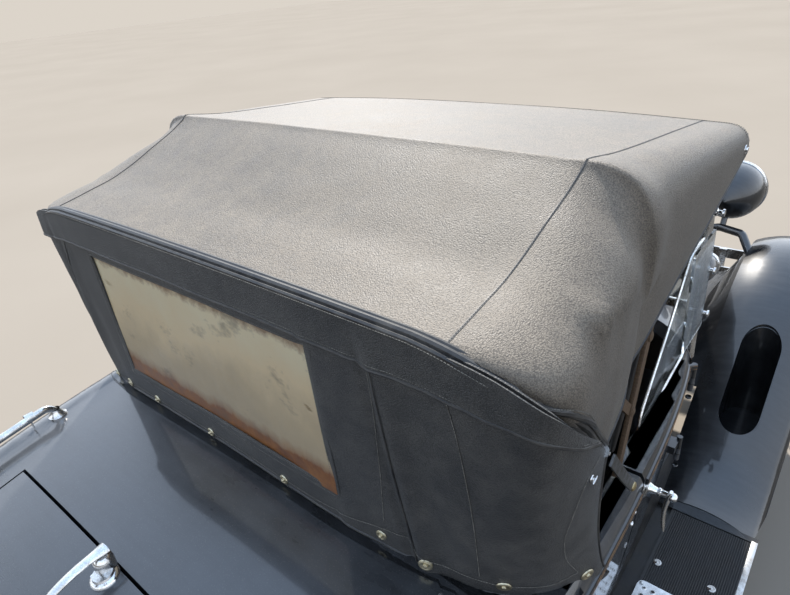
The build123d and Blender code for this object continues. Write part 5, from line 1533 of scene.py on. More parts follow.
# %% [markdown]
# The running board wears a mat of moulded ribs and a bright edge. The ribs run along the car,
# six millimetres apart. Below the door lies a pressed aluminium step plate with rows of raised
# holes and a rounded rim, screwed down at its corners. Old bolts stand up through the mat.

# %% Running boards
BOARD_TOP = 0.357
MAT_FRONT, MAT_REAR, MAT_INNER, MAT_OUTER = 1.060, 2.114, 0.622, 0.846
RIB_PITCH = 0.0062
STEP_INNER, STEP_OUTER, STEP_FRONT, STEP_REAR = 0.612, 0.726, 1.372, 1.640
STEP_ROWS, STEP_COLUMNS = 9, 4
HOLE_X, HOLE_S = 0.0235, 0.0275
BOARD_BOLTS = [(x, station) for x in (0.637, 0.787) for station in (1.289, 1.62, 1.98)]
# The grooves and rib sides take a darker rubber than the rib tops: painted shade in the grooves, so
# the tops stand out like lit stripes.
mat_painted_groove_shade = make_rubber("mat_painted_groove_shade", (0.018, 0.018, 0.019), (0.040, 0.038, 0.036))
old_bolt = make_metal("old_bolt", (0.13, 0.12, 0.11), (0.09, 0.06, 0.045), 0.5, 0.75, 90)
for side, word in ((1, "left"), (-1, "right")):
    mat = bmesh.new()
    ribs = int((MAT_OUTER - MAT_INNER) / RIB_PITCH)
    profile = [(MAT_INNER, 0.0)]
    for i in range(ribs):
        x = MAT_INNER + i * RIB_PITCH
        profile += [(x + 0.0004, 0.0020), (x + 0.0014, 0.0038), (x + 0.0034, 0.0038),
                    (x + 0.0044, 0.0020)]
    profile.append((MAT_OUTER, 0.0))
    rings = []
    for station in (MAT_FRONT, MAT_FRONT + 0.002, MAT_REAR - 0.002, MAT_REAR):
        drop = 0.0030 if station in (MAT_FRONT, MAT_REAR) else 0.0
        rings.append([mat.verts.new(spot(side * x, station, BOARD_TOP + max(h - drop, 0.0002)))
                      for x, h in profile])
    # Rib tops get the plain mat rubber, all other faces the darker rubber of painted groove shade.
    for first, second in zip(rings, rings[1:]):
        for i, (a, b, c, d) in enumerate(zip(first, first[1:], second[1:], second)):
            mat.faces.new((a, b, c, d)).material_index = 1 if i % 4 == 2 else 0
    add_piece(f"board_mat_{word}", mat, [mat_painted_groove_shade, mat_rubber], smooth=35)
    trim = bmesh.new()
    edge = [spot(side * 0.852, s, BOARD_TOP)
            for s in (MAT_FRONT - 0.008, 1.4, 1.8, MAT_REAR + 0.006)]
    sweep(trim, edge, [(-0.0090, 0.0), (-0.0085, 0.0044), (0.0060, 0.0048), (0.0085, 0.0034),
                       (0.0092, -0.020), (0.0080, -0.020)], [UP] * 4)
    for x, station in BOARD_BOLTS:
        turn_profile(trim, [(0, 0.0120), (0.0012, 0.0115), (0.0018, 0.0080), (0.0006, 0.0070),
                            (0.0006, 0.0052), (0.0024, 0.0040), (0.0024, 0.0)],
                     spot(side * x, station, BOARD_TOP + 0.0036), UP, 16, 1)
    add_piece(f"board_trim_{word}", trim, [steel, old_bolt])
    plate = bmesh.new()
    base_z = BOARD_TOP + 0.0040
    corners = [spot(side * x, station, 0) for x, station in (
        (STEP_INNER, 1.50), (STEP_INNER, STEP_FRONT), (STEP_OUTER, STEP_FRONT),
        (STEP_OUTER, STEP_REAR), (STEP_INNER, STEP_REAR), (STEP_INNER, 1.502))]
    outline = [plate.verts.new((p.x, p.y, base_z)) for p in rounded(corners, 0.022, 6)]
    sheet_face = plate.faces.new(outline)
    for inset, rise in ((0.004, 0.0034), (0.005, 0.0), (0.003, -0.0022)):
        bmesh.ops.inset_region(plate, faces=[sheet_face], thickness=inset, use_even_offset=True)
        bmesh.ops.translate(plate, vec=(0, 0, rise), verts=sheet_face.verts)
    holes = bmesh.new()
    for row in range(STEP_ROWS):
        for column in range(STEP_COLUMNS):
            centre = spot(side * (0.634 + HOLE_X * column), 1.396 + HOLE_S * row, base_z + 0.0013)
            hole = 0.0052 if (row + column) % 2 else 0.0036
            turn_profile(plate, [(0.0, hole + 0.0026), (0.0016, hole + 0.0012), (0.0016, hole),
                                 (0.0002, hole - 0.0002)], centre, UP, 14)
            turn_profile(holes, [(0.0005, hole), (0.0006, 0.0)], centre, UP, 14)
    add_piece(f"step_plate_holes_{word}", holes, chassis_black)
    for x, station in ((0.622, 1.384), (0.716, 1.384), (0.622, 1.628), (0.716, 1.628)):
        add_bolt(plate, spot(side * x, station, base_z + 0.0030), (0, 0, 1), 0.0038)
    add_piece(f"step_plate_{word}", plate, alloy, smooth=30)
print("ribs on a mat", ribs)

# %% [markdown]
# Below the curtain's rounded corners the deck closes the square corners of the cabin, and the
# front wings' crowned ends are closed down to the flat running boards. Both are thin panels
# whose edges are found on the CAD parts, so they meet them without a step.

# %% Deck corners and wing ends
WING_END_INNER, WING_END_WIDTH = 0.560, 0.290
WING_END_RUN = 0.026
for side, word in ((1, "left"), (-1, "right")):
    corner = bmesh.new()
    rows = []
    for i in range(41):
        key = 2.2 + 6.3 * i / 40
        if side > 0:
            key = LAST - key
        foot = spot(*between(CURTAIN_KEYS, key)[3:])
        out = (foot - spot(side * 0.30, 1.75, foot.z))
        out = Vector((out.x, out.y, 0)).normalized()
        inner = foot - out * 0.030 - Vector((0, 0, 0.010))
        outer = None
        for reach in range(1, 24):
            at, up = meet("body_tub", foot + out * (0.008 * reach) + UP * 0.5, -UP)
            if at is not None and at.z > foot.z - 0.12:
                outer = at + Vector((0, 0, 0.0012)) + out * 0.012
                break
        if outer is None:
            continue
        low = meet("body_tub", outer + UP * 0.5, -UP)[0]
        if low is not None:
            outer.z = low.z + 0.0012
        middle_point = inner.lerp(outer, 0.5) + Vector((0, 0, 0.004))
        rows.append([corner.verts.new(p) for p in (inner, middle_point, outer)])
    for first, second in zip(rows, rows[1:]):
        for a, b, c, d in zip(first, first[1:], second[1:], second):
            corner.faces.new((a, b, c, d))
    bmesh.ops.solidify(corner, geom=corner.faces[:], thickness=0.002)
    add_piece(f"deck_corner_{word}", corner, dusty_painted_sky_enamel, smooth=50)
    toe = bmesh.new()
    end_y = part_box("front_wings")[1].y
    top_row, low_row = [], []
    for i in range(33):
        x = side * (WING_END_INNER + WING_END_WIDTH * i / 32)
        at = meet("front_wings", (x, end_y - 0.010, 1.2), -UP)[0]
        if at is None:
            continue
        top_row.append(toe.verts.new((x, end_y - 0.003, at.z - 0.0012)))
        low_row.append(toe.verts.new((x, end_y + WING_END_RUN, BOARD_TOP + 0.0042)))
    for a, b, c, d in zip(top_row, top_row[1:], low_row[1:], low_row):
        toe.faces.new((a, b, c, d))
    bmesh.ops.solidify(toe, geom=toe.faces[:], thickness=0.002)
    add_piece(f"wing_end_{word}", toe, enamel, smooth=50)
print("wing ends at station", round(end_y - FRONT_AXLE_Y, 3))

# %% [markdown]
# On each side a folding leg of the top runs down behind the seat, and a wind wing of plate glass
# stands on the cowl with a bright edge. Each leg has a shorter brace that is pivoted to it.

# %% Legs of the top and wing glasses
legs = bmesh.new()
glasses = bmesh.new()
edges = bmesh.new()
for side in (-1, 1):
    leg = rounded([spot(side * 0.596, 1.560, 1.500), spot(side * 0.602, 1.632, 1.368),
                   spot(side * 0.612, 1.755, 1.112)], 0.05)
    sweep(legs, leg, [(-0.012, -0.004), (0.012, -0.004), (0.013, 0.0), (0.012, 0.004),
                      (-0.012, 0.004), (-0.013, 0.0)], [Vector((side, 0, 0))] * len(leg))
    brace = [spot(side * 0.606, 1.700, 1.228), spot(side * 0.604, 1.800, 1.330),
             spot(side * 0.598, 1.900, 1.420)]
    sweep(legs, brace, bar_outline(0.010, 0.003),
          [Vector((side, 0, 0))] * 3)
    for place in (leg[0], leg[len(leg) // 2], brace[0], brace[-1]):
        turn_profile(legs, [(0.002, 0.0110), (0.0065, 0.0105), (0.0085, 0.0060), (0.0088, 0.0)],
                     place, (side, 0, 0), 16)
    outline = rounded([spot(side * 0.600, 1.36, 1.105), spot(side * 0.602, 1.604, 1.086),
                       spot(side * 0.600, 1.590, 1.140), spot(side * 0.600, 1.470, 1.290),
                       spot(side * 0.604, 1.404, 1.425),
                       spot(side * 0.604, 1.300, 1.430), spot(side * 0.600, 1.286, 1.110),
                       spot(side * 0.600, 1.36, 1.105)], 0.018)
    glasses.faces.new([glasses.verts.new(p) for p in outline[:-1]])
    sweep(edges, outline, round_outline(0.0032, 6), [Vector((side, 0, 0))] * len(outline))
bmesh.ops.solidify(glasses, geom=glasses.faces[:], thickness=0.004)
add_piece("top_legs", legs, bow_wood)
add_piece("wing_glass", glasses, clear_glass)
add_piece("wing_glass_edge", edges, plated)

# %% [markdown]
# Inside the openings the ledges of body and doors carry a stiff dark rubber trim. A flat iron
# link ties each end of the bead down to the body, and ends in a worn foot with one screw.

# %% Trim on the ledges and links of the top
ledge_rubber = make_rubber("ledge_rubber", (0.008, 0.008, 0.009), (0.022, 0.021, 0.020))
dark_iron = make_metal("dark_iron", (0.20, 0.21, 0.22), (0.13, 0.12, 0.11), 0.4, 0.6, 50)
for side, word, door_body in ((1, "left", "door_l"), (-1, "right", "door_r")):
    for node, body, first, last, part in (("body_tub", "root", 1.738, 2.020, "quarter"),
                                          (f"door_{word}", door_body, 1.258, 1.708, "door")):
        trim = bmesh.new()
        rows = []
        for i in range(25):
            station = first + (last - first) * i / 24
            line = []
            for j in range(13):
                x = side * (0.480 + 0.0130 * j)
                at, up = meet_from_above(node, x, station, 1.30)
                if at is not None and at.z > 0.99 and up.z > 0.8:
                    line.append(at + Vector((0, 0, 0.0012)))
            if len(line) >= 2:
                rows.append([trim.verts.new(line[0].lerp(line[-1], t)) for t in (0.0, 0.5, 0.97)])
        for row, after in zip(rows, rows[1:]):
            for a, b, c, d in zip(row, row[1:], after[1:], after):
                trim.faces.new((a, b, c, d))
        if trim.faces:
            bmesh.ops.solidify(trim, geom=trim.faces[:], thickness=0.0016)
            add_piece(f"ledge_trim_{part}_{word}", trim, ledge_rubber, body=body)
            print("ledge trim", part, word, len(rows))
links, feet = bmesh.new(), bmesh.new()
for side in (-1, 1):
    line = rounded([spot(side * 0.651, 1.925, 1.312), spot(side * 0.652, 1.860, 1.225),
                    spot(side * 0.648, 1.772, 1.120)], 0.06, 6)
    sweep(links, line, bar_outline(0.010, 0.002),
          [Vector((side, 0, 0))] * len(line))
    turn_profile(feet, [(0.001, 0.0095), (0.004, 0.0090), (0.0065, 0.0050), (0.0070, 0.0)],
                 line[-1], (side, 0, 0), 18)
add_piece("top_links", links, dark_iron, smooth=30)
add_piece("top_link_feet", feet, brass, smooth=30)

# %% [markdown]
# A seat pad starts as the plain CAD pad. Remeshing gives it even cells, a short cloth simulation
# under pressure swells it, and the swelling is capped so that the pad keeps its place. The sewn
# channels come afterwards, because the remesh would erase them. At the end every point is pushed
# back inside the box of the CAD pad, which leaves the tops of the two cushions flat. What stands
# under the pad's seam line, such as the seat's riser, keeps its flat sides.

# %% Padded seats
PAD_CELL = 0.014
PAD_SWELL = 0.016
PAD_INSET = 0.010


def swell(piece, held_below):
    """Run a short cloth simulation and cap how far each point moves."""
    before = [v.co.copy() for v in piece.data.vertices]
    held = piece.vertex_groups.new(name="held")
    held.add([i for i, co in enumerate(before) if co.z < held_below], 1.0, "REPLACE")
    cloth = piece.modifiers.new("swelling", "CLOTH")
    cloth.settings.quality = 5
    cloth.settings.mass = 0.3
    cloth.settings.use_pressure = True
    cloth.settings.uniform_pressure_force = 4.0
    cloth.settings.vertex_group_mass = "held"
    cloth.settings.effector_weights.gravity = 0.0
    cloth.collision_settings.use_collision = False
    cloth.collision_settings.use_self_collision = False
    cloth.point_cache.frame_start = 1
    cloth.point_cache.frame_end = 20
    for step in range(1, 21):
        bpy.context.scene.frame_set(step)
    graph = bpy.context.evaluated_depsgraph_get()
    after = [v.co.copy() for v in piece.evaluated_get(graph).data.vertices]
    piece.modifiers.remove(cloth)
    piece.vertex_groups.clear()
    bpy.context.scene.frame_set(1)
    for vert, old, new in zip(piece.data.vertices, before, after):
        move = new - old
        if move.length > PAD_SWELL:
            move *= PAD_SWELL / move.length
        vert.co = old + move


def make_pad(node, body, seam_z, pitch, channel_normal):
    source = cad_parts[node]
    mesh = bpy.data.meshes.new(node + "_pad")
    builder = bmesh.new()
    builder.from_mesh(source.data)
    bmesh.ops.remove_doubles(builder, verts=builder.verts[:], dist=0.00005)
    builder.to_mesh(mesh)
    builder.free()
    mesh.materials.clear()
    mesh.materials.append(leather)
    piece = bpy.data.objects.new(node + "_pad", mesh)
    bpy.context.collection.objects.link(piece)
    remesh = piece.modifiers.new("cells", "REMESH")
    remesh.mode = "VOXEL"
    remesh.voxel_size = PAD_CELL
    graph = bpy.context.evaluated_depsgraph_get()
    even = bpy.data.meshes.new_from_object(piece.evaluated_get(graph))
    piece.modifiers.remove(remesh)
    piece.data = even
    low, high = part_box(node)
    for vert in even.vertices:
        if vert.co.z > seam_z:
            vert.co -= vert.normal * PAD_INSET
    builder = bmesh.new()
    builder.from_mesh(even)
    for _ in range(3):
        soft = [v for v in builder.verts if v.co.z > seam_z]
        bmesh.ops.smooth_vert(builder, verts=soft, factor=0.5, use_axis_x=True, use_axis_y=True,
                              use_axis_z=True)
    builder.to_mesh(even)
    builder.free()
    swell(piece, seam_z)
    builder = bmesh.new()
    builder.from_mesh(piece.data)
    bmesh.ops.subdivide_edges(builder, edges=builder.edges[:], cuts=1, use_grid_fill=True,
                              smooth=0.6)
    builder.normal_update()
    facing = Vector(channel_normal).normalized()
    middle_x = (low.x + high.x) / 2
    for vert in builder.verts:
        across = (vert.co.x - middle_x) / pitch
        gap = abs(across - round(across)) * pitch
        edge = min(vert.co.x - low.x, high.x - vert.co.x)
        shown = max(vert.normal.dot(facing), 0.0) * min(max(edge / 0.05, 0.0), 1.0)
        vert.co -= facing * 0.0085 * shown * math.exp(-((gap / 0.007) ** 2))
        vert.co.x = min(max(vert.co.x, low.x), high.x)
        vert.co.y = min(max(vert.co.y, low.y), high.y)
        vert.co.z = min(max(vert.co.z, low.z), high.z)
    builder.to_mesh(piece.data)
    builder.free()
    piece.data.shade_smooth()
    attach(piece, body)
    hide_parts(node)
    return piece


seat_pad = make_pad("seat_cushion", "root", 0.675, 0.072, (0, 0, 1))
back_pad = make_pad("seat_back", "root", 0.600, 0.072, (0, -1, 0.2))
rumble_seat_pad = make_pad("rumble_cushion", "root", 0.600, 0.080, (0, 0, 1))
rumble_back_pad = make_pad("rumble_back", "rumble_lid", 0.0, 0.080, (0, -0.35, -1))
for pad in (seat_pad, back_pad, rumble_seat_pad, rumble_back_pad):
    print(pad.name, len(pad.data.polygons), "faces")

# %% [markdown]
# The dash carries an oval panel with plain round dials. Each dial has a bright bezel, a dark
# face, a ring of ticks and a pale hand. The steering wheel is hard rubber on four spokes and has
# a horn button and two small levers. The gear lever and the pedals stand on the floor.

# %% Dash and controls
dial_face = make_metal("dial_face", (0.010, 0.010, 0.010), (0.016, 0.016, 0.015), 0.3, 0.4, 60)
dial_mark = make_metal("dial_mark", (0.75, 0.72, 0.62), (0.7, 0.66, 0.55), 0.5, 0.6, 60)
dash_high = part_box("dash")[1]
DASH_Y = meet("dash", (0.05, dash_high.y + 0.3, 1.07), FORWARD)[0].y
DIALS = ((0.0, 1.070, 0.046), (-0.130, 1.066, 0.030), (0.130, 1.066, 0.030), (-0.222, 1.060, 0.024))
panel = bmesh.new()
oval = []
for i in range(56):
    turn = math.tau * i / 56
    wide = abs(math.cos(turn)) ** 0.8 * math.copysign(1, math.cos(turn))
    oval.append(Vector((-0.035 + 0.252 * wide, DASH_Y + 0.0035, 1.066 + 0.058 * math.sin(turn))))
panel.faces.new([panel.verts.new(p) for p in oval])
bmesh.ops.solidify(panel, geom=panel.faces[:], thickness=0.003)
add_piece("dash_panel", panel, steel, smooth=30)
panel_rim = bmesh.new()
sweep(panel_rim, oval, round_outline(0.0032, 8), [BACK] * 56, closed=True)
bezels, faces, marks = bmesh.new(), bmesh.new(), bmesh.new()
for x, z, radius in DIALS:
    centre = Vector((x, DASH_Y + 0.0035, z))
    turn_profile(bezels, [(0.0, radius + 0.005), (0.005, radius + 0.004), (0.0075, radius + 0.001),
                          (0.0065, radius - 0.001), (0.002, radius - 0.002)], centre, BACK, 40)
    turn_profile(faces, [(0.0020, radius), (0.0021, 0.0)], centre, BACK, 40)
    ticks = 24 if radius > 0.04 else 12
    for i in range(ticks + 1):
        turn = math.radians(225 - 270 * i / ticks)
        out = Vector((math.cos(turn), 0, math.sin(turn)))
        inner = radius * (0.72 if i % 4 == 0 else 0.80)
        base = centre + Vector((0, 0.0028, 0))
        sweep(marks, [base + out * inner, base + out * radius * 0.90], flat_outline(0.0010, 0.0003),
              [BACK] * 2)
    hand = Vector((math.cos(2.6), 0, math.sin(2.6)))
    sweep(marks, [centre + Vector((0, 0.0035, 0)), centre + Vector((0, 0.0035, 0))
                  + hand * radius * 0.7], flat_outline(0.0016, 0.0004), [BACK] * 2)
    turn_profile(bezels, [(0.0022, 0.0035), (0.0048, 0.0032), (0.0050, 0.0)], centre, BACK, 14)
for x in (0.205, 0.245):
    turn_profile(bezels, [(0.0, 0.010), (0.004, 0.0095), (0.006, 0.004), (0.018, 0.004),
                          (0.020, 0.009), (0.028, 0.009), (0.030, 0.0)],
                 Vector((x, DASH_Y, 1.035)), BACK, 20)
add_piece("dash_rim", panel_rim, plated)
add_piece("dial_bezels", bezels, plated)
add_piece("dial_faces", faces, dial_face)
add_piece("dial_marks", marks, dial_mark)

WHEEL_AT = spot(0.330, 1.470, 1.010)
WHEEL_AXIS = Vector((0, 0.875387, 0.483423))
WHEEL_UP = Vector((0, -0.483423, 0.875387))
hub = bmesh.new()
turn_profile(hub, [(0.004, 0.034), (0.012, 0.033), (0.015, 0.028), (0.015, 0.021), (0.022, 0.020),
                   (0.026, 0.016), (0.027, 0.0)], WHEEL_AT, WHEEL_AXIS, 32)
add_piece("horn_button", hub, plated, body="steering_wheel", smooth=30)
wheel_grip = bmesh.new()
STEER_RADIUS = 0.212
for i in range(60):
    turn = math.tau * (i + 0.5) / 60
    out = LEFT * math.cos(turn) + WHEEL_UP * math.sin(turn)
    under = WHEEL_AT + out * (STEER_RADIUS + 0.001)
    turn_profile(wheel_grip, [(-0.0115, 0.0028), (-0.0128, 0.0012), (-0.0130, 0.0)], under,
                 WHEEL_AXIS, 8)
add_piece("wheel_grips", wheel_grip, hard_rubber, body="steering_wheel")
levers = bmesh.new()
for side in (-1, 1):
    foot = WHEEL_AT - WHEEL_AXIS * 0.050
    ends = rounded([foot + LEFT * side * 0.018, foot + LEFT * side * 0.055
                    + WHEEL_AXIS * 0.002, foot + LEFT * side * 0.125 + WHEEL_UP * 0.010
                    + WHEEL_AXIS * 0.010], 0.02)
    sweep(levers, ends, round_outline(0.0032, 8))
    turn_profile(levers, [(-0.010, 0.0), (-0.008, 0.005), (0.0, 0.0078), (0.008, 0.005),
                          (0.010, 0.0)], ends[-1], LEFT, 16)
add_piece("column_levers", levers, plated)

cabin_floor = meet_from_above("body_tub", 0.05, 1.300, 0.75)[0].z
print("cabin floor at", round(cabin_floor, 3), "dash face at", round(DASH_Y, 3))
shift = bmesh.new()
stick = rounded([spot(0.0, 1.190, cabin_floor), spot(0.0, 1.200, cabin_floor + 0.05),
                 spot(0.004, 1.335, cabin_floor + 0.34), spot(0.004, 1.345, cabin_floor + 0.37)],
                0.10, 8)
sweep(shift, stick, round_outline(0.0070, 12))
turn_profile(shift, [(-0.004, 0.050), (0.002, 0.048), (0.016, 0.036), (0.030, 0.020),
                     (0.034, 0.010)], stick[0], UP, 28)
add_piece("gear_lever", shift, plated)
knob = bmesh.new()
turn_profile(knob, [(-0.020, 0.0), (-0.018, 0.012), (-0.008, 0.0215), (0.004, 0.0235),
                    (0.014, 0.0190), (0.021, 0.008), (0.022, 0.0)],
             stick[-1] + Vector((0, 0.004, 0.012)), (0, 0.1, 1), 24)
add_piece("gear_knob", knob, hard_rubber)
pedals = bmesh.new()
for x, length in ((0.400, 0.050), (0.270, 0.050), (0.190, 0.028)):
    base = spot(x, 1.060, cabin_floor)
    face = spot(x, 1.165, cabin_floor + 0.150)
    sweep(pedals, rounded([base, base + Vector((0, 0.02, 0.10)), face], 0.05),
          flat_outline(0.009, 0.004), None)
    tilt = Vector((0, 0.62, 0.78)).normalized()
    sweep(pedals, [face - LEFT * length * 0.6, face + LEFT * length * 0.6],
          bar_outline(0.026, 0.004), [tilt] * 2)
add_piece("pedals", pedals, steel, smooth=30)
floor_mat = bmesh.new()
for side in (-1, 1):
    for i in range(13):
        x = side * (0.090 + 0.030 * i)
        sweep(floor_mat, [spot(x, 1.215, cabin_floor + 0.006), spot(x, 1.420, cabin_floor + 0.006)],
              flat_outline(0.0055, 0.002), [UP] * 2)
    low = spot(side * 0.270, 1.318, cabin_floor + 0.0022)
    sweep(floor_mat, [low - Vector((0.20, 0, 0)), low + Vector((0.20, 0, 0))],
          bar_outline(0.112, 0.0022),
          [UP] * 2)
add_piece("floor_mats", floor_mat, mat_rubber, smooth=30)

# %% [markdown]
# The hood sides have a row of pressed louvres, each a narrow raised lip that tapers at its ends.
# Two spring catches hold each half down, and a plain hinge rod covers the joint along the middle.

# %% Hood louvres and catches
def add_block(bm, low, high, rounding):
    """A box with its edges rounded off."""
    made = bmesh.ops.create_cube(bm, size=1.0)["verts"]
    low, high = Vector(low), Vector(high)
    for vert in made:
        vert.co = Vector([(low[i] + high[i]) / 2 + vert.co[i] * (high[i] - low[i])
                          for i in range(3)])
    edges = {e for v in made for e in v.link_edges}
    bmesh.ops.bevel(bm, geom=list(edges), offset=rounding, segments=2, affect="EDGES",
                    profile=0.5)


LOUVRES = 22
LOUVRE_START, LOUVRE_RUN = 0.270, 0.500
LOUVRE_LOW, LOUVRE_HEIGHT = 0.740, 0.190
CATCH_STATIONS = (0.215, 0.820)
CATCH_LOW, CATCH_HIGH = 0.668, 0.716
HOOD_START = 1.2
for side, word, body in ((1, "left", "hood_l"), (-1, "right", "hood_r")):
    node = f"hood_{word}"
    louvres = bmesh.new()
    for i in range(LOUVRES):
        station = LOUVRE_START + LOUVRE_RUN * i / (LOUVRES - 1)
        line, ups = [], []
        for j in range(13):
            at, up = meet_from_side(node, side, station, LOUVRE_LOW + LOUVRE_HEIGHT * j / 12,
                                    HOOD_START)
            if at is None:
                continue
            line.append(at - up * 0.0006)
            ups.append(up)
        if len(line) < 5:
            continue
        swell_of = [max(0.12, math.sin(math.pi * j / (len(line) - 1)) ** 0.35)
                    for j in range(len(line))]
        sweep(louvres, line, [(-0.0060, 0.0), (0.0060, 0.0), (0.0052, 0.0052), (0.0030, 0.0070),
                              (0.0005, 0.0060), (-0.0035, 0.0026)], ups, taper=swell_of)
    add_piece(f"louvres_{word}", louvres, enamel, body=body, smooth=40)
    catches = bmesh.new()
    for station in CATCH_STATIONS:
        low, up = meet_from_side(node, side, station, CATCH_LOW, HOOD_START)
        high, up_high = meet_from_side(node, side, station, CATCH_HIGH, HOOD_START)
        if low is None or high is None:
            continue
        sweep(catches, rounded([low + up * 0.002, low.lerp(high, 0.5) + up * 0.012,
                                high + up_high * 0.003], 0.02),
              [(-0.009, -0.0015), (0.009, -0.0015), (0.008, 0.0015), (-0.008, 0.0015)], None)
        turn_profile(catches, [(0.0, 0.010), (0.003, 0.0095), (0.010, 0.0055), (0.016, 0.0075),
                               (0.020, 0.006), (0.021, 0.0)], low.lerp(high, 0.5) + up * 0.008,
                     up, 20)
    add_piece(f"hood_catches_{word}", catches, plated, body=body, smooth=40)
hinge = bmesh.new()
hinge_line = []
for i in range(25):
    station = 0.125 + 0.780 * i / 24
    at, up = meet_from_above("hood_left", 0.012, station, 1.6)
    hinge_line.append(Vector((0, at.y, at.z + 0.0015)))
sweep(hinge, hinge_line, round_outline(0.0050, 10))
add_piece("hood_hinge_rod", hinge, plated)

# %% [markdown]
# The lamps are bowls closed by a bright rim and a fluted lens. The radiator has a plain round
# cap with a knurled edge and no mark on it, and a row of fine fins over its core.

# %% Lamps and radiator
LAMP_X, LAMP_S, LAMP_Z = 0.409, -0.196, 1.049
FLUTE_PITCH = 0.0125
FLUTE_REACH = 0.104
lamp_rims, lamp_lens = bmesh.new(), bmesh.new()
for side in (-1, 1):
    centre = spot(side * LAMP_X, LAMP_S, LAMP_Z)
    turn_profile(lamp_rims, [(-0.016, 0.1185), (-0.014, 0.1225), (-0.004, 0.1235), (0.004, 0.1205),
                             (0.0075, 0.1150), (0.0080, 0.1095), (0.0030, 0.1070)], centre,
                 FORWARD, 56)
    turn_profile(lamp_lens, [(0.0030, 0.1085), (0.0070, 0.0960), (0.0110, 0.0700),
                             (0.0135, 0.0380), (0.0145, 0.0)], centre, FORWARD, 56)
    for i in range(-8, 9):
        x = FLUTE_PITCH * i
        tall = math.sqrt(max(0.0, FLUTE_REACH ** 2 - x * x))
        line = []
        for j in range(9):
            z = -tall + 2 * tall * j / 8
            bulge = 0.0150 * (1 - (x * x + z * z) / 0.108 ** 2)
            line.append(centre + Vector((x, -0.0010 - bulge, z)))
        sweep(lamp_lens, line, round_outline(0.0016, 6))
add_piece("lamp_rims", lamp_rims, plated, smooth=35)
add_piece("lamp_flutes", lamp_lens, lens_glass, smooth=60)
small_rims, small_lens = bmesh.new(), bmesh.new()
for side in (-1, 1):
    at = meet("small_lamps", spot(side * 0.548, 0.60, 1.190), BACK)[0]
    turn_profile(small_rims, [(-0.008, 0.0350), (-0.006, 0.0375), (0.002, 0.0370),
                              (0.005, 0.0330), (0.003, 0.0305)], at, FORWARD, 32)
    turn_profile(small_lens, [(0.003, 0.0310), (0.007, 0.0240), (0.010, 0.0120), (0.011, 0.0)],
                 at, FORWARD, 32)
tail_at = meet("small_lamps", spot(0.640, 3.50, 0.650), FORWARD)[0]
tail_lens = bmesh.new()
turn_profile(small_rims, [(-0.010, 0.0430), (-0.006, 0.0455), (0.001, 0.0450), (0.004, 0.0410),
                          (0.002, 0.0385)], tail_at, BACK, 36)
turn_profile(tail_lens, [(0.002, 0.0390), (0.005, 0.0330), (0.008, 0.0180), (0.009, 0.0)],
             tail_at, BACK, 36)
for radius in (0.012, 0.020, 0.028):
    ring = hoop(tail_at + BACK * (0.0085 - radius * 0.13), radius, 28)
    sweep(tail_lens, ring, round_outline(0.0012, 6), [BACK] * 28, closed=True)
add_piece("small_lamp_rims", small_rims, plated, smooth=35)
add_piece("small_lamp_lens", small_lens, lens_glass, smooth=60)
add_piece("tail_lens", tail_lens, red_glass, smooth=60)

fins = bmesh.new()
core_low, core_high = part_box("radiator_core")
for i in range(57):
    x = core_low.x + 0.010 + (core_high.x - core_low.x - 0.020) * i / 56
    low, up = meet("radiator_core", (x, core_low.y - 0.3, core_low.z + 0.012), BACK)
    reach = core_high.z - 0.004
    while reach > core_low.z and meet("radiator_core", (x, core_low.y - 0.3, reach),
                                      BACK)[0] is None:
        reach -= 0.006
    if low is None:
        continue
    sweep(fins, [low, Vector((x, low.y, reach))], flat_outline(0.0009, 0.0022),
          [FORWARD] * 2)
for j in range(38):
    z = core_low.z + 0.012 + 0.0135 * j
    left = meet("radiator_core", (core_low.x + 0.006, core_low.y - 0.3, z), BACK)[0]
    right = meet("radiator_core", (core_high.x - 0.006, core_low.y - 0.3, z), BACK)[0]
    if left and right:
        sweep(fins, [left, right], flat_outline(0.0009, 0.0012), [FORWARD] * 2)
add_piece("radiator_fins", fins, steel)
cap = bmesh.new()
cap_at = spot(0.0, 0.060, 1.187)
turn_profile(cap, [(-0.006, 0.0310), (0.000, 0.0325), (0.004, 0.0325), (0.008, 0.0300),
                   (0.011, 0.0200), (0.0118, 0.0)], cap_at, UP, 36)
for i in range(18):
    turn = math.tau * i / 18
    out = Vector((math.cos(turn), math.sin(turn), 0))
    sweep(cap, [cap_at + out * 0.0322 - Vector((0, 0, 0.005)), cap_at + out * 0.0322
                + Vector((0, 0, 0.004))], round_outline(0.0020, 6))
add_piece("radiator_cap", cap, plated, smooth=35)

# %% [markdown]
# Bolts with domed heads hold the bumper bars. The windscreen's pillars carry clamp screws, and
# a wiper with its small motor hangs from the top rail.

# %% Bumper bolts and windscreen fittings
bolts = bmesh.new()
for x in (-0.350, 0.350):
    for z in (0.456, 0.564):
        at, up = meet("bumpers", spot(x, -1.2, z), BACK)
        if at is not None:
            add_bolt(bolts, at, up, 0.013, 0.009)
        at, up = meet("bumpers", spot(x + math.copysign(0.11, x), 4.0, z), FORWARD)
        if at is not None:
            add_bolt(bolts, at, up, 0.013, 0.009)
add_piece("bumper_bolts", bolts, plated, smooth=35)
screen = bmesh.new()
for side in (-1, 1):
    for z in (1.205, 1.330, 1.480):
        at, up = meet_from_side("screen_frame", side, 1.222 + 0.184 * (z - 1.17), z, 0.9)
        if at is None:
            continue
        turn_profile(screen, [(0.0, 0.0095), (0.004, 0.0090), (0.006, 0.005), (0.012, 0.005),
                              (0.014, 0.0085), (0.018, 0.0080), (0.020, 0.0)], at, (side, 0, 0), 18)
motor = spot(0.300, 1.262, 1.505)
add_block(screen, motor - Vector((0.038, 0.012, 0.020)), motor + Vector((0.038, 0.014, 0.016)),
          0.006)
add_piece("screen_fittings", screen, plated, smooth=40)
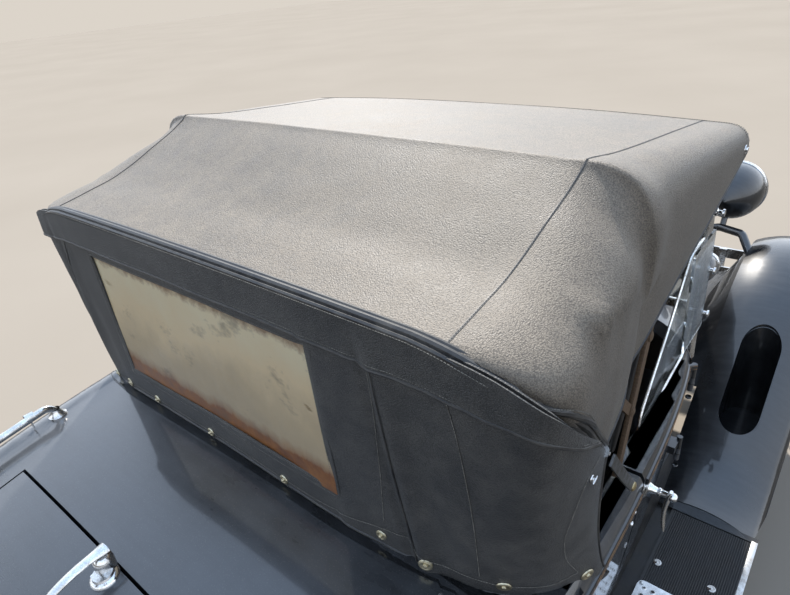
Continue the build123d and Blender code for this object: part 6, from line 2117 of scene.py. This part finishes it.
wiper = bmesh.new()
sweep(wiper, [motor + Vector((0, -0.030, -0.004)), motor + Vector((-0.050, -0.052, -0.120)),
              motor + Vector((-0.075, -0.066, -0.190))], round_outline(0.0022, 6))
sweep(wiper, [motor + Vector((-0.020, -0.052, -0.080)), motor + Vector((-0.100, -0.076, -0.270))],
      flat_outline(0.0016, 0.0050))
add_piece("wiper", wiper, chassis_black)

# %% [markdown]
# A tyre of the period is tall and narrow with an almost square shoulder. Its tread has three
# zigzag ribs with a row of short bars beside them, and its side walls carry plain raised rings.
# The road tread stays inside the CAD tyre's radius, so the car stands on the same floor.

# %% Tyres
TYRE_PROFILE = [
    (-0.0440, 0.2800), (-0.0500, 0.2860), (-0.0545, 0.3000), (-0.0558, 0.3030), (-0.0556, 0.3060),
    (-0.0570, 0.3200), (-0.0572, 0.3330), (-0.0575, 0.3345), (-0.0574, 0.3375), (-0.0560, 0.3500),
    (-0.0535, 0.3620), (-0.0500, 0.3715), (-0.0440, 0.3775), (-0.0300, 0.3812), (-0.0150, 0.3826),
    (0.0, 0.3830),
]
TYRE_PROFILE += [(-x, r) for x, r in reversed(TYRE_PROFILE[:-1])]
WHEELS = (("front_left", 1, 0.0, "wheel_fl"), ("front_right", -1, 0.0, "wheel_fr"),
          ("rear_left", 1, 2.629, "wheel_rl"), ("rear_right", -1, 2.629, "wheel_rr"))
AXLE_Z = 0.387
WHEEL_X = 0.711
HUB_FACE_X = 0.7905
TREAD_TEETH = 116
SPOKES, WHEEL_NUTS = 30, 5
VALVE_TURN = 0.4


def around(centre, turn, offset, radius):
    """A point on the wheel, off its middle plane by offset."""
    return centre + Vector((offset, radius * math.cos(turn), radius * math.sin(turn)))


for word, side, station, body in WHEELS:
    centre = spot(side * WHEEL_X, station, AXLE_Z)
    tyre = bmesh.new()
    turn_profile(tyre, TYRE_PROFILE, centre, (1, 0, 0), 96)
    for offset, phase in ((-0.0185, 0), (0.0, 1), (0.0185, 0)):
        path, ups = [], []
        for i in range(TREAD_TEETH):
            turn = math.tau * i / TREAD_TEETH
            zig = 0.0030 if (i + phase) % 2 else -0.0030
            path.append(around(centre, turn, offset + zig, 0.3835))
            ups.append(turned(turn))
        sweep(tyre, path, [(-0.0058, -0.0020), (0.0058, -0.0020), (0.0050, 0.0032),
                           (-0.0050, 0.0032)], ups, closed=True)
    for i in range(TREAD_TEETH // 2):
        turn = math.tau * (2 * i + 0.5) / TREAD_TEETH
        up = turned(turn)
        for edge in (-1, 1):
            sweep(tyre, [around(centre, turn, edge * 0.0290, 0.3820),
                         around(centre, turn, edge * 0.0420, 0.3790),
                         around(centre, turn, edge * 0.0515, 0.3670)],
                  [(-0.0075, -0.0015), (0.0075, -0.0015), (0.0066, 0.0028), (-0.0066, 0.0028)],
                  [up, up, (up + Vector((edge, 0, 0))).normalized()])
    piece = add_piece(f"tyre_{word}_tread", tyre, tyre_rubber, body=body, smooth=35)
    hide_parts(f"tyre_{word}")
    bright, dark = bmesh.new(), bmesh.new()
    out = Vector((side, 0, 0))
    face = Vector((side * HUB_FACE_X, centre.y, centre.z))
    turn_profile(bright, [(-0.004, 0.0400), (0.000, 0.0400), (0.0035, 0.0380), (0.0065, 0.0310),
                          (0.0085, 0.0180), (0.0090, 0.0)], face, out, 40)
    for i in range(WHEEL_NUTS):
        nut = around(face, math.tau * i / WHEEL_NUTS, 0.0, 0.0490)
        turn_profile(bright, [(-0.004, 0.0068), (0.0060, 0.0068), (0.0080, 0.0045), (0.0084, 0.0)],
                     nut, out, 6)
    for i in range(SPOKES):
        turn = math.tau * (i + 0.5) / SPOKES
        spoke = turned(turn)
        nipple = around(centre, turn, side * (0.010 if i % 2 else -0.010), 0.2560)
        turn_profile(dark, [(-0.012, 0.0), (-0.010, 0.0040), (0.004, 0.0046), (0.006, 0.0)],
                     nipple, spoke, 8)
    valve = around(centre, VALVE_TURN, side * 0.012, 0.262)
    inward = (LEFT * (side * 0.35) - turned(VALVE_TURN)).normalized()
    turn_profile(bright, [(-0.008, 0.0050), (0.018, 0.0044), (0.019, 0.0056), (0.030, 0.0052),
                          (0.032, 0.0)], valve, inward, 12)
    add_piece(f"hub_{word}", bright, plated, body=body, smooth=35)
    add_piece(f"nipples_{word}", dark, wheel_black, body=body, smooth=35)
print("tyres made")

# %% [markdown]
# Rivets run along the frame, clips hold the exhaust pipe and bands close its silencer. The
# engine under the hood gets its head, plugs, water hose, manifold and fan, so that an open hood
# shows more than a plain block.

# %% Chassis and engine details
rivets = bmesh.new()
for side in (-1, 1):
    for i in range(22):
        for z in (0.500, 0.540):
            at, up = meet_from_side("frame", side, 0.10 + 0.135 * i, z, 0.60)
            if at is not None and abs(at.x) > 0.30:
                turn_profile(rivets, [(-0.001, 0.0075), (0.002, 0.0066), (0.004, 0.0040),
                                      (0.0048, 0.0)], at, up, 10)
add_piece("frame_rivets", rivets, chassis_black, smooth=45)
clips = bmesh.new()
PIPE_X, PIPE_Z = -0.255, 0.400
for station in (0.95, 1.46, 2.02, 2.40):
    sweep(clips, hoop(spot(PIPE_X, station, PIPE_Z), 0.030, 24), flat_outline(0.0085, 0.0020),
          [BACK] * 24, closed=True)
for station in (1.505, 1.740, 1.975):
    sweep(clips, hoop(spot(PIPE_X, station, PIPE_Z), 0.063, 40), flat_outline(0.0090, 0.0022),
          [BACK] * 40, closed=True)
add_piece("exhaust_clips", clips, rusty_steel, smooth=40)

HEAD_HALF_WIDTH, HEAD_FRONT, HEAD_REAR, HEAD_HEIGHT = 0.115, 0.200, 0.780, 0.040
head, head_bright, head_dark = bmesh.new(), bmesh.new(), bmesh.new()
top = meet_from_above("engine_block", 0.0, 0.45)[0].z
add_block(head, spot(-HEAD_HALF_WIDTH, HEAD_FRONT, top - 0.002),
          spot(HEAD_HALF_WIDTH, HEAD_REAR, top + HEAD_HEIGHT), 0.010)
for i in range(7):
    for side in (-1, 1):
        turn_profile(head_bright, [(-0.002, 0.0095), (0.008, 0.0095), (0.010, 0.006),
                                   (0.0105, 0.0)],
                     spot(side * 0.095, 0.225 + 0.088 * i, top + HEAD_HEIGHT), UP, 6)
for i in range(4):
    at = spot(0.020, 0.270 + 0.145 * i, top + HEAD_HEIGHT)
    turn_profile(head_bright, [(0.0, 0.0125), (0.010, 0.0125), (0.012, 0.008)], at, UP, 6)
    turn_profile(head_dark, [(0.010, 0.0085), (0.034, 0.0065), (0.040, 0.0045), (0.050, 0.0030),
                             (0.051, 0.0)], at, UP, 16)
neck = rounded([spot(0.0, 0.300, top + 0.030), spot(0.0, 0.262, top + 0.075),
                spot(0.0, 0.150, top + 0.085)], 0.05, 8)
sweep(head_dark, neck, round_outline(0.0230, 20))
add_piece("cylinder_head", head, cast_iron, smooth=35)
add_piece("head_nuts", head_bright, steel, smooth=35)
add_piece("plugs_and_hose", head_dark, tyre_rubber, smooth=45)
manifold = bmesh.new()
for station in (0.260, 0.420, 0.570, 0.730):
    wall, up = meet("engine_block", spot(-0.60, station, top - 0.090), LEFT)
    if wall is None:
        continue
    sweep(manifold, rounded([wall + Vector((0.004, 0, 0)), wall + Vector((-0.034, 0, 0)),
                             wall + Vector((-0.036, 0.030, 0))], 0.02), round_outline(0.020, 16))
log_x = wall.x - 0.036
sweep(manifold, rounded([spot(log_x, 0.235, top - 0.090), spot(log_x, 0.760, top - 0.090),
                         spot(log_x, 0.830, top - 0.160), spot(log_x, 0.840, top - 0.300)],
                        0.06, 8), round_outline(0.0225, 18))
add_piece("exhaust_manifold", manifold, rusty_steel, smooth=50)
fan = bmesh.new()
fan_at = spot(0.0, 0.150, 0.830)
for i in range(4):
    turn = math.tau * i / 4 + 0.4
    out = Vector((math.cos(turn), 0, math.sin(turn)))
    lean = Vector((-math.sin(turn), 0.7, math.cos(turn))).normalized()
    sweep(fan, [fan_at + out * 0.020, fan_at + out * 0.090, fan_at + out * 0.155],
          bar_outline(0.026, 0.0014),
          [lean.cross(out)] * 3, taper=[0.5, 1.0, 0.85])
turn_profile(fan, [(-0.014, 0.0), (-0.014, 0.030), (-0.006, 0.036), (0.010, 0.036), (0.016, 0.024),
                   (0.020, 0.0)], fan_at, BACK, 28)
add_piece("fan", fan, chassis_black, smooth=40)
print("engine top at", round(top, 3))

# %% [markdown]
# For every cloth of the top a table gives its flat size and how it is held. The roof is
# stretched over its bows, the curtain hangs from the rear bow and turn buttons hold it down, the
# valance hangs from the same bow, and the celluloid is sewn flat into the curtain. Each size is
# measured along the finished surface. The roof's length runs from the header to the rear bow,
# without the narrow flap that is turned down in front of the header.


def across_roof(station):
    """The width of the cloth over the bows, side fall included."""
    return run_length([roof_point(station, -1 + i / 30)[0] for i in range(61)])


def along_roof(share):
    """The length of the cloth from the header to the rear bow."""
    stations = [HEADER + (REAR_BOW - HEADER) * i / 60 for i in range(61)]
    return run_length([roof_point(station, share)[0] for station in stations])


curtain_keys = [LAST * i / 120 for i in range(121)]
valance_keys = [key for key in curtain_keys if valance_drop(key) > 0]


def curtain_height(key):
    return run_length([curtain_at(key, i / 12)[0] for i in range(13)])


def valance_depth(key):
    return run_length([curtain_at(key, 1 - valance_drop(key) * i / 6)[0] for i in range(7)])


FLAT = {
    "roof_cloth": (max(across_roof(HEADER + 0.07 * i) for i in range(14)),
                   max(along_roof(i / 10) for i in range(-10, 11))),
    "curtain": (max(run_length([curtain_at(key, share)[0] for key in curtain_keys])
                    for share in (0.0, 0.5, 1.0)),
                max(curtain_height(key) for key in curtain_keys)),
    "valance": (run_length(valance_path), max(valance_depth(key) for key in valance_keys)),
    "celluloid_sheet": (bpy.data.objects["celluloid_sheet"].dimensions.x,
                        bpy.data.objects["celluloid_sheet"].dimensions.z),
}
SHEETS = (
    ("roof_cloth", "stretched", ["top_bows", "screen_frame"], ["roof_seams", "sewing"]),
    ("curtain", "hung", ["top_bows", "body_tub"], ["curtain_bindings", "window_strip"]),
    ("valance", "hung", ["top_bows"], ["valance_piping"]),
    ("celluloid_sheet", "stretched", ["curtain"], []),
)
for name, held, rests_on, with_pieces in SHEETS:
    piece = bpy.data.objects[name]

# %% [markdown]
# The light is the open daylight of the photograph: a bright, slightly veiled sun ahead of the
# car and to its left, and the blue-grey sky that the enamel mirrors. The floor is plain and
# pale. Where the camera looks past the car it sees a plain backdrop instead of the sky.

# %% Light and floor
SUN_TRAVELS = Vector((-0.48, 0.58, -0.66))
BACKDROP = (0.715, 0.660, 0.590, 1)
SKY_STOPS = [(0.0, (0.30, 0.29, 0.27)), (0.48, (0.42, 0.42, 0.41)), (0.56, (0.52, 0.56, 0.62)),
             (1.0, (0.30, 0.40, 0.56))]
GLOSSY_SKY = 3.4


def mix_node(nodes, blend, factor=1.0):
    node = nodes.new("ShaderNodeMix")
    node.data_type = "RGBA"
    node.blend_type = blend
    node.clamp_factor = False
    node.inputs["Factor"].default_value = factor
    return node


def make_sky():
    world = bpy.data.worlds.new("sky")
    world.use_nodes = True
    bpy.context.scene.world = world
    nodes, links = world.node_tree.nodes, world.node_tree.links
    background = nodes["Background"]
    coords = nodes.new("ShaderNodeTexCoord")
    split = nodes.new("ShaderNodeSeparateXYZ")
    links.new(coords.outputs["Generated"], split.inputs[0])
    ramp = nodes.new("ShaderNodeValToRGB")
    elements = ramp.color_ramp.elements
    while len(elements) < len(SKY_STOPS):
        elements.new(0.5)
    for element, (place, colour) in zip(elements, SKY_STOPS):
        element.position = place
        element.color = (*colour, 1)
    shift = nodes.new("ShaderNodeMapRange")
    shift.inputs["From Min"].default_value = -1.0
    links.new(split.outputs[2], shift.inputs["Value"])
    links.new(shift.outputs["Result"], ramp.inputs["Fac"])
    path = nodes.new("ShaderNodeLightPath")
    bright = mix_node(nodes, "MULTIPLY")
    links.new(path.outputs["Is Glossy Ray"], bright.inputs["Factor"])
    links.new(ramp.outputs["Color"], bright.inputs[6])
    bright.inputs[7].default_value = (GLOSSY_SKY, GLOSSY_SKY, GLOSSY_SKY, 1)
    seen = mix_node(nodes, "MIX")
    links.new(path.outputs["Is Camera Ray"], seen.inputs["Factor"])
    links.new(bright.outputs[2], seen.inputs[6])
    seen.inputs[7].default_value = BACKDROP
    links.new(seen.outputs[2], background.inputs["Color"])
    background.inputs["Strength"].default_value = 1.0


def make_sun():
    data = bpy.data.lights.new("sun", "SUN")
    data.energy = 3.5
    data.angle = math.radians(2.0)
    data.color = (1.0, 0.94, 0.86)
    sun = bpy.data.objects.new("sun", data)
    bpy.context.collection.objects.link(sun)
    sun.rotation_euler = SUN_TRAVELS.to_track_quat("-Z", "Y").to_euler()


def make_floor():
    """A pale floor for the eye, which throws less light up at the car than it seems to."""
    bm = bmesh.new()
    bmesh.ops.create_grid(bm, x_segments=8, y_segments=8, size=60.0)
    mesh = bpy.data.meshes.new("floor")
    bm.to_mesh(mesh)
    bm.free()
    finish = Finish("floor", (0.50, 0.47, 0.43), 0.9)
    finish.constant(Specular_IOR_Level=0.0)
    clouds = finish.noise(0.35, 5.0, 0.55)
    pale = finish.ramp(clouds, [(0.3, (0.600, 0.535, 0.452)), (0.7, (0.640, 0.572, 0.486))])
    path = finish.nodes.new("ShaderNodeLightPath")
    finish.colour(finish.mix(path.outputs["Is Camera Ray"], (0.24, 0.23, 0.215), pale))
    mesh.materials.append(finish.material)
    floor = bpy.data.objects.new("floor", mesh)
    bpy.context.collection.objects.link(floor)
    floor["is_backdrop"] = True


make_sky()
make_sun()
make_floor()

# %% [markdown]
# The view transform stays Standard, so a colour chosen in a material is the colour that comes
# out in the same light. The last lines print how large the dressed car is.

# %% Picture settings and the end
bpy.context.scene.view_settings.view_transform = "Standard"

low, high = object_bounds()
print("visual box", [round(v, 3) for v in low], [round(v, 3) for v in high])
